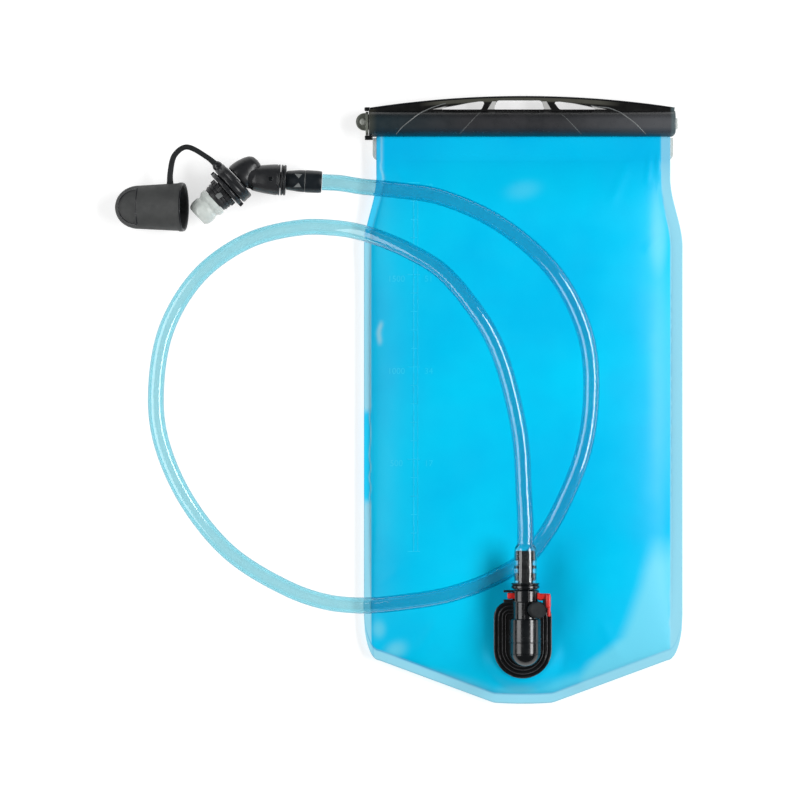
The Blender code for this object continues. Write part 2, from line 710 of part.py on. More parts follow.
def cap_section(s, inset=0.0):
    """Half width and half height of the cap, s metres behind its mouth."""
    body = CAP_LENGTH - 14.0 * MM
    width = CAP_MOUTH_R - 1.4 * MM * min(s / body, 1.0)
    height = CAP_MOUTH_R - 4.6 * MM * min(s / body, 1.0)
    if s > body:
        t = (s - body) / (CAP_LENGTH - body)
        round_end = math.sqrt(max(1.0 - t * t, 0.0))
        width = 1.6 * MM + (width - 1.6 * MM) * round_end
        height = 2.4 * MM + (height - 2.4 * MM) * (1.0 - t) ** 0.8
    return width - inset, height - inset


def cap_loft(name, stations, inset, place, look=None, group=None, sides=28):
    form = bmesh.new()
    rings = []
    for s in stations:
        width, height = cap_section(max(s, 0.0), inset)
        rings.append([
            form.verts.new((-s, width * math.cos(a), height * math.sin(a)))
            for a in np.linspace(0, 2 * math.pi, sides + 1)[:-1]
        ])
    for near, far in zip(rings, rings[1:]):
        for j in range(sides):
            k = (j + 1) % sides
            form.faces.new((near[j], far[j], far[k], near[k]))
    form.faces.new(rings[0])
    form.faces.new(rings[-1][::-1])
    bmesh.ops.recalc_face_normals(form, faces=form.faces)
    for face in form.faces:
        face.smooth = len(face.verts) == 4
    made = new_object(name, mesh_from(form, name), look, group or HELPERS)
    made.matrix_world = place
    return made


def build_cap(tether_start, across):
    mouth = Vector((*CAP_MOUTH, PIECE_Z))
    place = Matrix.Translation(mouth) @ Matrix.Rotation(-CAP_TILT, 4, "Y")
    body = CAP_LENGTH - 14.0 * MM
    stations = [0.0, 9 * MM, 18 * MM, body]
    stations += [body + 14.0 * MM * t for t in (0.3, 0.55, 0.76, 0.9, 0.98)]
    cap = cap_loft("bite_cap", stations, 0.0, place, RUBBER, PARTS)
    hollow = [-2 * MM, 0.0, 10 * MM, 20 * MM, body, body + 2.5 * MM]
    cut(cap, cap_loft("cap_hollow", hollow, CAP_WALL, place))

    width = cap_section(8.0 * MM)[0]
    root = place @ Vector((-8.0 * MM, width + GAP, 0.0))
    up = Vector((0.0, 1.0, 0.0))
    points = [
        tether_start,
        tether_start + across * 5.5 * MM + Vector((-1.4 * MM, 0.0, 0.0)),
        Vector((-191.6 * MM, 145.4 * MM, 13.6 * MM)),
        Vector((-198.6 * MM, 140.6 * MM, 13.1 * MM)),
        root + up * 7.0 * MM,
        root,
    ]
    wire("cap_tether", smooth_path(points, 22), 1.4 * MM, RUBBER, PARTS, sides=2)


# ---------------------------------------------------------------- assembly

for leftover in list(bpy.data.objects):
    bpy.data.objects.remove(leftover)

PARTS = bpy.data.collections.new("hydration_bladder")
HELPERS = bpy.data.collections.new("cutters")
for group in (PARTS, HELPERS):
    bpy.context.scene.collection.children.link(group)

FILM_BLUE = new_material("blue_film", (0.0, 0.5, 0.85), 0.35)
CLEAR = new_material("clear_plastic", (0.85, 0.88, 0.88), 0.25)
CLEAR_BLUE = new_material("clear_blue_tube", (0.45, 0.78, 0.85), 0.15)
SMOKE = new_material("smoked_plastic", (0.035, 0.04, 0.045), 0.3)
BLACK = new_material("black_plastic", (0.015, 0.016, 0.018), 0.35)
RUBBER = new_material("black_rubber", (0.02, 0.022, 0.022), 0.6)
RED = new_material("red_plastic", (0.7, 0.01, 0.008), 0.35)
WHITE = new_material("white_plastic", (0.8, 0.8, 0.78), 0.4)
SILICONE = new_material("clear_silicone", (0.72, 0.76, 0.74), 0.3)
STEEL = new_material("spring_steel", (0.6, 0.6, 0.6), 0.25, metallic=1.0)

build_bag()
build_bar()
build_hose(build_port())
build_mouthpiece()
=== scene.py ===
"""The looks of the hydration bladder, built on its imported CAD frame: the welded film bag, the
closing bar, the outlet port, the clear drink tube and the bite-valve mouthpiece with its cap.

Everything is in metres in the CAD's own frame: +X along the closing bar, +Y from the outlet
towards the bar, +Z up from the floor."""

import math

import bmesh
import bpy
import numpy as np
from mathutils import Matrix, Vector


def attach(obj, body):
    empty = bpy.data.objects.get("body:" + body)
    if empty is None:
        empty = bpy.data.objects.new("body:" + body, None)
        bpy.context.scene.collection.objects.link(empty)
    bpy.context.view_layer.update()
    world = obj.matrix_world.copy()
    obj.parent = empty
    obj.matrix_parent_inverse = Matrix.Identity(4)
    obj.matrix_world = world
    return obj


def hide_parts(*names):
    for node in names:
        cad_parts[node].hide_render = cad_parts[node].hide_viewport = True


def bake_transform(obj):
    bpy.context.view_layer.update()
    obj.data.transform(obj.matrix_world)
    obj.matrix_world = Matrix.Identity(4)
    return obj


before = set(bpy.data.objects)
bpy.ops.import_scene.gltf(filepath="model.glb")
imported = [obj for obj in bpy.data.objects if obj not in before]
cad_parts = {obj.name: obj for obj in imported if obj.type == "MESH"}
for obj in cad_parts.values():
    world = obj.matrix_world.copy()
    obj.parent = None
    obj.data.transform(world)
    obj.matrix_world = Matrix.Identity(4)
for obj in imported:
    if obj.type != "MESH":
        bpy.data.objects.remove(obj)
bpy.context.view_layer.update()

MM = 0.001

# Bag
BAG_X = 2.1 * MM
BAG_HALF_WIDTH = 91.8 * MM
MOUTH_HALF_WIDTH = 84.6 * MM
BAG_BOTTOM_Y = -175.0 * MM
BOTTOM_FLAT_HALF = 17.0 * MM
BOTTOM_CORNER = (83.0 * MM, -150.0 * MM)
BOTTOM_CORNER_TOP_Y = -124.0 * MM
SHOULDER_Y = (88.0 * MM, 128.0 * MM)
FILM = 0.5 * MM
FILM_GAP = 0.3 * MM
SEAM_Z = 4.7 * MM
FRONT_RISE = 15.6 * MM
WELD_LEFT = 4.3 * MM
WELD_RIGHT = 7.0 * MM
WELD_BOTTOM = 6.0 * MM
MOUTH_Y = 138.0 * MM

# Closing bar
BAR_Y = 159.1 * MM
BAR_Z = 7.65 * MM
BAR_R = 7.65 * MM
BAR_BORE_R = 5.5 * MM
BAR_X = (-86.8 * MM, 89.1 * MM)
SLOT_HALF = 1.15 * MM
HANDLE_Z = (5.2 * MM, 10.1 * MM)

# Outlet port and hose coupling
PORT_FILM_Z = 15.0 * MM
FLANGE_X = 1.6 * MM
FLANGE_SIZE = (33.3 * MM, 44.3 * MM)
FLANGE_TOP_Y = -115.6 * MM
FLANGE_Z = 15.3 * MM
AXIS_X = 2.8 * MM
AXIS_Z = 28.6 * MM

# Drink tube: its outer and inner radius, and the run from the coupling to the mouthpiece sleeve
TUBE_R = 4.75 * MM
TUBE_BORE_R = 3.1 * MM
TUBE_ROUTE = [
    (2.8, -104.9, 28.6),
    (2.8, -95.0, 28.6),
    (2.8, -85.7, 28.6),
    (2.8, -72.0, 28.2),
    (2.0, -55.0, 27.2),
    (-0.8, -17.0, 26.8),
    (-14.0, 31.0, 26.8),
    (-30.0, 57.0, 26.2),
    (-46.0, 74.5, 25.0),
    (-63.0, 85.0, 22.0),
    (-81.0, 93.0, 16.4),
    (-95.0, 97.3, 11.0),
    (-109.0, 99.3, 7.2),
    (-126.0, 99.4, 5.2),
    (-156.0, 92.0, 4.9),
    (-184.5, 72.0, 4.9),
    (-203.6, 40.5, 4.9),
    (-209.6, 3.0, 4.9),
    (-206.5, -24.0, 4.9),
    (-192.0, -57.5, 4.9),
    (-166.5, -88.5, 4.9),
    (-132.0, -109.5, 5.0),
    (-112.0, -116.2, 6.2),
    (-98.0, -118.0, 9.2),
    (-84.0, -118.0, 13.0),
    (-66.0, -116.0, 17.4),
    (-46.0, -112.8, 20.6),
    (-33.0, -109.3, 20.8),
    (-20.0, -104.5, 19.6),
    (3.2, -91.3, 17.3),
    (13.5, -78.5, 19.2),
    (22.5, -63.0, 23.2),
    (35.5, -31.0, 26.4),
    (40.4, 0.0, 26.4),
    (37.6, 36.0, 26.6),
    (20.3, 72.0, 26.2),
    (-11.4, 100.6, 24.6),
    (-46.0, 116.4, 21.2),
    (-70.0, 120.4, 17.4),
    (-92.0, 122.8, 14.2),
    (-103.0, 124.6, 14.0),
    (-113.6, 125.2, 14.0),
]

# Mouthpiece
PIECE_Z = 14.0 * MM
HOSE_END = (-113.9 * MM, 125.2 * MM)
HOSE_END_ANGLE = math.radians(3.0)
VALVE_ANGLE = math.radians(43.0)
VALVE_CENTRE = (-168.4 * MM, 121.3 * MM)
CAP_MOUTH = (-193.0 * MM, 110.9 * MM)
CAP_LENGTH = 40.2 * MM
CAP_MOUTH_R = 13.9 * MM
CAP_WALL = 1.5 * MM
CAP_TILT = math.radians(9.0)


# ---------------------------------------------------------------- materials


class Look:
    """A material with its Principled shader, and short calls for the nodes that feed it."""

    def __init__(self, name, colour, roughness, **sockets):
        self.material = bpy.data.materials.new(name)
        self.material.use_nodes = True
        self.tree = self.material.node_tree
        self.shader = self.tree.nodes["Principled BSDF"]
        self.shader.inputs["Base Color"].default_value = (*colour, 1.0)
        self.shader.inputs["Roughness"].default_value = roughness
        for socket, value in sockets.items():
            self.shader.inputs[socket.replace("_", " ")].default_value = value

    def node(self, kind, **values):
        made = self.tree.nodes.new(kind)
        for name, value in values.items():
            setattr(made, name, value)
        return made

    def link(self, output, socket):
        self.tree.links.new(output, socket)

    def feed(self, output, name):
        self.link(output, self.shader.inputs[name])

    def noise(self, scale, detail=3.0):
        """Noise in the object's own coordinates, in grains per metre."""
        place = self.node("ShaderNodeTexCoord")
        made = self.node("ShaderNodeTexNoise")
        made.inputs["Scale"].default_value = scale
        made.inputs["Detail"].default_value = detail
        self.link(place.outputs["Object"], made.inputs["Vector"])
        return made.outputs["Fac"]

    def span(self, value, low, high, to_low, to_high):
        """value mapped from low..high to to_low..to_high, and held there outside it."""
        made = self.node("ShaderNodeMapRange")
        self.link(value, made.inputs["Value"])
        for name, number in (("From Min", low), ("From Max", high), ("To Min", to_low), ("To Max", to_high)):
            made.inputs[name].default_value = number
        return made.outputs["Result"]

    def mix(self, share, first, second):
        """A colour that goes from first to second as share goes from 0 to 1."""
        made = self.node("ShaderNodeMix", data_type="RGBA")
        self.link(share, made.inputs["Factor"])
        for name, value in (("A", first), ("B", second)):
            socket = next(s for s in made.inputs if s.name == name and s.type == "RGBA")
            if isinstance(value, tuple):
                socket.default_value = (*value, 1.0)
            else:
                self.link(value, socket)
        return next(s for s in made.outputs if s.type == "RGBA")

    def attribute(self, name):
        return self.node("ShaderNodeAttribute", attribute_name=name).outputs["Fac"]

    def bump(self, height, strength, depth):
        made = self.node("ShaderNodeBump")
        made.inputs["Strength"].default_value = strength
        made.inputs["Distance"].default_value = depth
        self.link(height, made.inputs["Height"])
        self.feed(made.outputs["Normal"], "Normal")

    def calculate(self, operation, *values):
        """The result of a Math node that is fed with outputs or numbers."""
        made = self.node("ShaderNodeMath", operation=operation)
        for socket, value in zip(made.inputs, values):
            if isinstance(value, float):
                socket.default_value = value
            else:
                self.link(value, socket)
        return made.outputs[0]


def moulded(name, colour, worn, roughness, grain=2600.0, depth=0.03 * MM, **sockets):
    """Moulded plastic or rubber: a fine grain, broad cloudy patches and an uneven polish."""
    look = Look(name, colour, roughness, **sockets)
    cloud = look.noise(70.0, 4.0)
    look.feed(look.mix(look.span(cloud, 0.42, 0.72, 0.0, 1.0), colour, worn), "Base Color")
    polish = look.noise(260.0, 3.0)
    look.feed(look.span(polish, 0.3, 0.7, roughness - 0.06, roughness + 0.08), "Roughness")
    look.bump(look.noise(grain, 2.0), 0.35, depth)
    return look


FILM_CYAN = (0.0, 0.585, 0.90)
FILM_DEEP = (0.0, 0.50, 0.84)
WELD_PALE = (0.29, 0.66, 0.81)
CLING_AND_HIGHLIGHT_PALE = (0.20, 0.70, 0.86)


def film_look():
    """Matt translucent film: cyan where the water space is, pale along the welds, and with painted light:
    pale patches, partly where the two films cling together and partly painted highlights on the filled film's
    bulge, pale painted highlight lines beside the welds, and painted shade in its creases and below the
    mouth's fold."""
    look = Look("blue film", FILM_CYAN, 0.36, Specular_IOR_Level=0.1)
    cloud = look.span(look.noise(16.0, 4.0), 0.35, 0.65, 0.0, 1.0)
    body = look.mix(cloud, FILM_CYAN, FILM_DEEP)
    cling_and_highlight = look.mix(look.attribute("cling_and_highlight"), body, CLING_AND_HIGHLIGHT_PALE)
    # The weld share also carries the painted highlight lines beside the welds.
    welded = look.mix(look.attribute("weld"), cling_and_highlight, WELD_PALE)
    # Painted shade darkens the creases.
    look.feed(look.mix(look.attribute("crease_shade"), welded, (0.0, 0.33, 0.66)), "Base Color")
    look.feed(look.span(look.noise(45.0, 3.0), 0.3, 0.7, 0.30, 0.44), "Roughness")
    look.bump(look.noise(900.0, 3.0), 0.25, 0.05 * MM)
    return look


def tube_look():
    """Clear tube with a blue-green tint, which deepens at its edges, where its wall is deepest."""
    look = Look(
        "clear blue tube", (1.0, 1.0, 1.0), 0.04, Transmission_Weight=1.0, IOR=1.34,
        Coat_Weight=1.0, Coat_Roughness=0.03,
    )
    haze = look.span(look.noise(120.0, 3.0), 0.35, 0.65, 0.0, 1.0)
    look.feed(look.mix(haze, (0.96, 0.99, 1.0), (1.0, 1.0, 1.0)), "Base Color")
    look.feed(look.span(look.noise(300.0, 2.0), 0.3, 0.7, 0.02, 0.08), "Roughness")
    depth = look.node("ShaderNodeVolumeAbsorption")
    depth.inputs["Color"].default_value = (0.02, 0.68, 0.78, 1.0)
    depth.inputs["Density"].default_value = 320.0
    output = look.tree.nodes["Material Output"]
    look.link(depth.outputs["Volume"], output.inputs["Volume"])
    return look


def bar_look():
    """Smoked plastic with painted light on it: a painted highlight greys its face towards the right end, and
    painted shade darkens its upper rim nearly to black. Towards the left end it turns darker and bluer, and
    along its lower side the blue film is painted in, partly seen through the smoke and partly a painted
    reflection.
    """
    look = moulded("smoked bar", (0.026, 0.027, 0.030), (0.036, 0.036, 0.040), 0.30, 1500.0, 0.008 * MM)
    place = look.node("ShaderNodeTexCoord")
    split = look.node("ShaderNodeSeparateXYZ")
    look.link(place.outputs["Object"], split.inputs["Vector"])
    x, y = split.outputs["X"], split.outputs["Y"]
    colour = look.shader.inputs["Base Color"].links[0].from_socket
    # Painted highlight: the face greys towards the right end.
    right = look.span(x, 20.0 * MM, 78.0 * MM, 0.0, 1.0)
    face = look.mix(right, colour, (0.075, 0.078, 0.085))
    # Towards the left end the face turns darker and bluer.
    left = look.span(x, -30.0 * MM, -80.0 * MM, 0.0, 1.0)
    face = look.mix(left, face, (0.014, 0.026, 0.032))
    # The blue film painted along the lower side: partly seen through the smoke, partly a painted reflection.
    low = look.span(y, 151.2 * MM, 156.8 * MM, 1.0, 0.0)
    blue = look.mix(low, face, (0.0, 0.016, 0.034))
    # Painted shade: the upper rim darkens nearly to black.
    high = look.span(y, 161.5 * MM, 166.8 * MM, 0.0, 1.0)
    rim_shade = look.mix(high, blue, (0.003, 0.003, 0.003))
    # The rail under the handle's arched top edge, between its two ends
    arch = look.calculate("MULTIPLY_ADD", look.calculate("MULTIPLY", x, x), 7.0 * MM / (90.0 * MM) ** 2, y)
    rail = look.span(arch, 171.4 * MM, 172.2 * MM, 0.0, 1.0)
    inner = look.span(look.calculate("ABSOLUTE", x), 46.0 * MM, 58.0 * MM, 1.0, 0.0)
    olive = look.mix(look.calculate("MULTIPLY", rail, inner), rim_shade, (0.058, 0.058, 0.047))
    end = look.span(x, 86.4 * MM, 87.6 * MM, 0.0, 0.55)
    ended = look.mix(end, olive, (0.11, 0.16, 0.17))
    start = look.span(x, -82.0 * MM, -85.6 * MM, 0.0, 0.5)
    look.feed(look.mix(start, ended, (0.07, 0.07, 0.05)), "Base Color")
    return look


def clear_look(name, colour, alpha, roughness=0.15):
    look = Look(name, colour, roughness, Specular_IOR_Level=0.55, Coat_Weight=0.2, Coat_Roughness=0.08)
    cloud = look.noise(300.0, 3.0)
    look.feed(look.mix(cloud, colour, tuple(min(1.0, c * 1.15) for c in colour)), "Base Color")
    look.feed(look.span(cloud, 0.3, 0.7, alpha - 0.05, alpha + 0.05), "Alpha")
    look.bump(look.noise(1500.0, 2.0), 0.2, 0.02 * MM)
    return look


LOOKS = {
    "film": film_look(),
    "tube": tube_look(),
    "mark": moulded("film marking", (0.01, 0.62, 0.90), (0.02, 0.67, 0.94), 0.36, Specular_IOR_Level=0.2),
    "black": moulded("black plastic", (0.006, 0.007, 0.009), (0.016, 0.017, 0.020), 0.30),
    "body": moulded("mouthpiece plastic", (0.013, 0.014, 0.016), (0.026, 0.026, 0.028), 0.32, 1800.0),
    "sleeve": moulded("sleeve rubber", (0.003, 0.006, 0.009), (0.008, 0.012, 0.016), 0.33),
    "rubber": moulded("cap rubber", (0.034, 0.036, 0.036), (0.050, 0.052, 0.051), 0.62, 3200.0, 0.05 * MM),
    "pad": moulded(
        "pad rubber", (0.008, 0.010, 0.011), (0.013, 0.015, 0.017), 0.7, 4200.0, 0.08 * MM,
        Specular_IOR_Level=0.3,
    ),
    "bar": bar_look(),
    "gloss": moulded(
        "gloss black plastic", (0.002, 0.003, 0.004), (0.006, 0.008, 0.010), 0.20, depth=0.01 * MM,
        Specular_IOR_Level=0.7,
    ),
    # A grey that paints the highlight on the flange's raised lines.
    "ridge": moulded("flange highlight edge", (0.045, 0.045, 0.05), (0.085, 0.085, 0.09), 0.25),
    "core": moulded("clear stem", (0.42, 0.45, 0.44), (0.52, 0.55, 0.54), 0.3),
    # Pale grey for small marks, and for the bar's raised lines as a painted highlight.
    "pale_mark_and_highlight": moulded("pale marks and highlight lines", (0.16, 0.17, 0.17), (0.22, 0.23, 0.23), 0.30),
    "clear_cap": moulded("pale clear plastic", (0.42, 0.44, 0.40), (0.52, 0.54, 0.50), 0.25),
    "strut": moulded("pale strut face", (0.42, 0.42, 0.41), (0.52, 0.52, 0.51), 0.35),
    "eye": moulded(
        "grey clear plastic", (0.12, 0.13, 0.11), (0.20, 0.21, 0.18), 0.28, Specular_IOR_Level=0.6,
    ),
    "red": moulded("red plastic", (0.62, 0.018, 0.014), (0.70, 0.035, 0.025), 0.34),
    "white": moulded("white plastic", (0.74, 0.74, 0.72), (0.80, 0.80, 0.78), 0.45),
    "clear": clear_look("clear plastic", (0.62, 0.66, 0.63), 0.62),
    "silicone": clear_look("clear silicone", (0.66, 0.71, 0.68), 0.80, 0.3),
    "steel": moulded("spring steel", (0.55, 0.55, 0.56), (0.65, 0.65, 0.66), 0.25, Metallic=1.0),
}


# ---------------------------------------------------------------- modelling helpers


def finish_piece(piece, look, body, replaced=()):
    """Gives a finished mesh its material, its body and the CAD nodes it stands for."""
    piece.data.materials.clear()
    piece.data.materials.append(LOOKS[look].material)
    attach(piece, body)
    if replaced:
        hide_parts(*replaced)
    if look not in ("film", "tube"):
        even = piece.modifiers.new("Even shading", "WEIGHTED_NORMAL")
        even.keep_sharp = True
    return piece


def new_piece(name, form):
    mesh = bpy.data.meshes.new(name)
    form.to_mesh(mesh)
    form.free()
    piece = bpy.data.objects.new(name, mesh)
    bpy.context.scene.collection.objects.link(piece)
    return piece


def smooth(piece, angle=35.0):
    for face in piece.data.polygons:
        face.use_smooth = True
    piece.data.set_sharp_from_angle(angle=math.radians(angle))
    return piece


def frame_along(direction, origin):
    """A matrix whose +Z runs along direction from origin."""
    turn = Vector(direction).to_track_quat("Z", "Y").to_matrix().to_4x4()
    return Matrix.Translation(Vector(origin)) @ turn


def rounded(profile, radius, closed=False, steps=3):
    """The profile with each corner replaced by a small curve."""
    points = [Vector(p) for p in profile]
    count = len(points)
    made = []
    for i, point in enumerate(points):
        if not closed and i in (0, count - 1):
            made.append(point)
            continue
        before = points[i - 1] - point
        after = points[(i + 1) % count] - point
        reach = min(radius, before.length * 0.45, after.length * 0.45)
        start = point + before.normalized() * reach
        end = point + after.normalized() * reach
        for k in range(steps + 1):
            t = k / steps
            made.append((1 - t) ** 2 * start + 2 * t * (1 - t) * point + t * t * end)
    return [tuple(p) for p in made]


def lathe_form(profile, place, segments=96, closed=False):
    """A turned surface about the place's Z axis from (radius, height) points."""
    form = bmesh.new()
    rings = []
    for radius, height in profile:
        if radius < 1e-7:
            rings.append([form.verts.new(place @ Vector((0.0, 0.0, height)))])
            continue
        rings.append([
            form.verts.new(place @ Vector((radius * math.cos(a), radius * math.sin(a), height)))
            for a in np.linspace(0.0, 2 * math.pi, segments + 1)[:-1]
        ])
    pairs = list(zip(rings, rings[1:]))
    if closed:
        pairs.append((rings[-1], rings[0]))
    for first, second in pairs:
        if len(first) == len(second) == 1:
            continue
        for j in range(segments):
            k = (j + 1) % segments
            if len(first) == 1:
                form.faces.new((first[0], second[j], second[k]))
            elif len(second) == 1:
                form.faces.new((first[j], second[0], first[k]))
            else:
                form.faces.new((first[j], second[j], second[k], first[k]))
    bmesh.ops.recalc_face_normals(form, faces=form.faces)
    return form


def lathe(name, profile, place, radius=0.25, segments=96, closed=False):
    """A turned piece from a profile in millimetres, with its corners rounded."""
    points = rounded([(r * MM, h * MM) for r, h in profile], radius * MM, closed)
    return smooth(new_piece(name, lathe_form(points, place, segments, closed)))


def block(name, low, high, radius, place=None, segments=3):
    """A box with rounded edges, with its corners in millimetres."""
    form = bmesh.new()
    bmesh.ops.create_cube(form, size=1.0)
    low, high = Vector(low) * MM, Vector(high) * MM
    for vert in form.verts:
        vert.co = Vector((low[i] + (vert.co[i] + 0.5) * (high[i] - low[i])) for i in range(3))
    bmesh.ops.bevel(
        form, geom=form.edges[:], offset=radius * MM, segments=segments, profile=0.5, affect="EDGES"
    )
    if place is not None:
        form.transform(place)
    return smooth(new_piece(name, form))


def plate(name, outline, thickness, place, holes=(), edge=0.3 * MM):
    """A flat plate with rounded edges and its outline in the place's XY plane, centred on it."""
    curve = bpy.data.curves.new(name, "CURVE")
    curve.dimensions = "2D"
    curve.fill_mode = "BOTH"
    curve.extrude = thickness / 2 - edge
    curve.bevel_depth = edge
    curve.bevel_resolution = 2
    curve.offset = -edge
    for loop in (outline, *holes):
        spline = curve.splines.new("POLY")
        spline.points.add(len(loop) - 1)
        for point, (x, y) in zip(spline.points, loop):
            point.co = (x, y, 0.0, 1.0)
        spline.use_cyclic_u = True
    source = bpy.data.objects.new(name + " outline", curve)
    bpy.context.scene.collection.objects.link(source)
    bpy.context.view_layer.update()
    graph = bpy.context.evaluated_depsgraph_get()
    mesh = bpy.data.meshes.new_from_object(source.evaluated_get(graph))
    bpy.data.objects.remove(source)
    mesh.transform(place)
    mesh.name = name
    piece = bpy.data.objects.new(name, mesh)
    bpy.context.scene.collection.objects.link(piece)
    return smooth(piece, 30.0)


def merge(first, *others):
    """Puts the meshes of several pieces into the first one."""
    form = bmesh.new()
    for piece in (first, *others):
        form.from_mesh(piece.data)
    form.to_mesh(first.data)
    form.free()
    for piece in others:
        bpy.data.objects.remove(piece)
    return first


def arc(centre, radius, start, end, count):
    return [
        (centre[0] + radius * math.cos(a), centre[1] + radius * math.sin(a))
        for a in np.radians(np.linspace(start, end, count))
    ]


def smooth_path(points, count):
    """Evenly spaced points on a smooth curve through the given ones."""
    points = np.array(points, float)
    steps = np.linalg.norm(np.diff(points, axis=0), axis=1) ** 0.5
    knots = np.concatenate([[0.0], np.cumsum(steps)])
    padded = np.vstack([2 * points[0] - points[1], points, 2 * points[-1] - points[-2]])
    times = np.concatenate([[-steps[0]], knots, [knots[-1] + steps[-1]]])
    fine = []
    for i in range(1, len(padded) - 2):
        p0, p1, p2, p3 = padded[i - 1 : i + 3]
        t0, t1, t2, t3 = times[i - 1 : i + 3]
        for t in np.linspace(t1, t2, 24, endpoint=False):
            a1 = ((t1 - t) * p0 + (t - t0) * p1) / (t1 - t0)
            a2 = ((t2 - t) * p1 + (t - t1) * p2) / (t2 - t1)
            a3 = ((t3 - t) * p2 + (t - t2) * p3) / (t3 - t2)
            b1 = ((t2 - t) * a1 + (t - t0) * a2) / (t2 - t0)
            b2 = ((t3 - t) * a2 + (t - t1) * a3) / (t3 - t1)
            fine.append(((t2 - t) * b1 + (t - t1) * b2) / (t2 - t1))
    fine = np.array(fine + [points[-1]])
    length = np.concatenate([[0.0], np.cumsum(np.linalg.norm(np.diff(fine, axis=0), axis=1))])
    wanted = np.linspace(0.0, length[-1], count)
    return np.column_stack([np.interp(wanted, length, fine[:, i]) for i in range(3)])


def swept_rings(form, path, radii, sides):
    """Rings of vertices along a path, without twist."""
    path = [Vector(p) for p in path]
    tangents = [
        (path[min(i + 1, len(path) - 1)] - path[max(i - 1, 0)]).normalized() for i in range(len(path))
    ]
    side = tangents[0].orthogonal().normalized()
    rings = []
    for point, tangent, radius in zip(path, tangents, (float(r) for r in radii)):
        side = (side - tangent * side.dot(tangent)).normalized()
        other = tangent.cross(side)
        rings.append([
            form.verts.new(point + radius * (side * math.cos(a) + other * math.sin(a)))
            for a in np.linspace(0.0, 2 * math.pi, sides + 1)[:-1]
        ])
    return rings


def skin(form, rings, close_ends=False):
    for near, far in zip(rings, rings[1:]):
        count = len(near)
        for j in range(count):
            k = (j + 1) % count
            form.faces.new((near[j], near[k], far[k], far[j]))
    if close_ends:
        form.faces.new(rings[0][::-1])
        form.faces.new(rings[-1])


def bead(name, path, radii, sides=16):
    """A solid round bead along a path, closed at both ends."""
    form = bmesh.new()
    skin(form, swept_rings(form, path, radii, sides), close_ends=True)
    bmesh.ops.recalc_face_normals(form, faces=form.faces)
    return smooth(new_piece(name, form), 60.0)


# ---------------------------------------------------------------- the film bag


def ease(t):
    t = np.clip(t, 0.0, 1.0)
    return t * t * (3.0 - 2.0 * t)


def shoulder(t):
    """How a filled film rises from its weld, 0 at the weld and 1 on the crown."""
    return (1.0 - (1.0 - np.clip(t, 0.0, 1.0)) ** 2.4) ** 0.62


def half_width(y):
    low, high = SHOULDER_Y
    return BAG_HALF_WIDTH + (MOUTH_HALF_WIDTH - BAG_HALF_WIDTH) * ease((y - low) / (high - low))


def bottom_y(u):
    """The bag's lower outline: flat, then slanted, then a rounded corner up to the side."""
    x = np.abs(u) * BAG_HALF_WIDTH
    corner_x, corner_y = BOTTOM_CORNER
    flat = BAG_BOTTOM_Y + 0.6 * MM * np.minimum(x / BOTTOM_FLAT_HALF, 1.0) ** 2
    slant = np.clip((x - BOTTOM_FLAT_HALF) / (corner_x - BOTTOM_FLAT_HALF), 0.0, 1.0)
    turn = np.clip((x - corner_x) / (BAG_HALF_WIDTH - corner_x), 0.0, 1.0)
    low = flat + slant * (corner_y - BAG_BOTTOM_Y - 0.6 * MM)
    return low + (1.0 - np.sqrt(1.0 - turn * turn)) * (BOTTOM_CORNER_TOP_Y - corner_y)


def seam_z(y):
    return SEAM_Z + (BAR_Z - SEAM_Z) * ease((y - 60 * MM) / (MOUTH_Y - 60 * MM))


def inside_welds(x, y):
    """Distances in from the side weld and the bottom weld, negative on a weld."""
    side = BAG_X - x
    weld = np.where(side > 0, WELD_LEFT, WELD_RIGHT)
    u = (x - BAG_X) / half_width(y)
    return half_width(y) - np.abs(side) - weld, y - bottom_y(u) - WELD_BOTTOM


def filled(x, y):
    """0 on the welds and at the mouth, 1 where the film is fully raised."""
    from_side, from_bottom = inside_welds(x, y)
    mouth = np.clip((MOUTH_Y - y) / (105 * MM), 0.0, 1.0)
    rise = shoulder(mouth) ** (1.6 - 0.6 * ease(mouth / 0.3))
    return shoulder(from_side / (74 * MM)) * shoulder(from_bottom / (130 * MM)) * rise


def from_flange(x, y):
    """Distance outside the outlet flange's outline, 0 inside it."""
    half = FLANGE_SIZE[0] / 2
    low = FLANGE_TOP_Y - FLANGE_SIZE[1] + half
    high = FLANGE_TOP_Y - 9 * MM
    up = y - np.clip(y, low, high)
    radius = np.where(y < high, half, 9 * MM)
    across = np.maximum(np.abs(x - FLANGE_X) - (half - radius), 0.0)
    return np.maximum(np.hypot(across, up) - radius, 0.0)


def front_z(x, y):
    """Middle of the front film: filled, pressed down under the crossing tube, flat at the port."""
    full = filled(x, y)
    z = seam_z(y) + (FILM + FILM_GAP) / 2 + FRONT_RISE * full
    dent = np.exp(-(((x - 3 * MM) / (44 * MM)) ** 2) - ((y + 92 * MM) / (31 * MM)) ** 2)
    z = z + (11.3 * MM - z) * dent * ease(full * 2)
    flat = 1.0 - ease(from_flange(x, y) / (8.5 * MM))
    return z + (PORT_FILM_Z - FILM / 2 - z) * flat


def back_z(x, y):
    z = seam_z(y) - (FILM + FILM_GAP) / 2
    return z - (z - FILM / 2) * np.minimum(1.0, 1.25 * filled(x, y))


def ridge(x, y, start, end, width):
    """1 along a soft crease from start to end, 0 a few widths away; it fades at both ends."""
    run = np.subtract(end, start)
    length = np.hypot(*run)
    along = ((x - start[0]) * run[0] + (y - start[1]) * run[1]) / length
    across = ((x - start[0]) * run[1] - (y - start[1]) * run[0]) / length
    fade = ease(along / (0.3 * length)) * ease((length - along) / (0.3 * length))
    return np.exp(-((across / width) ** 2)) * fade


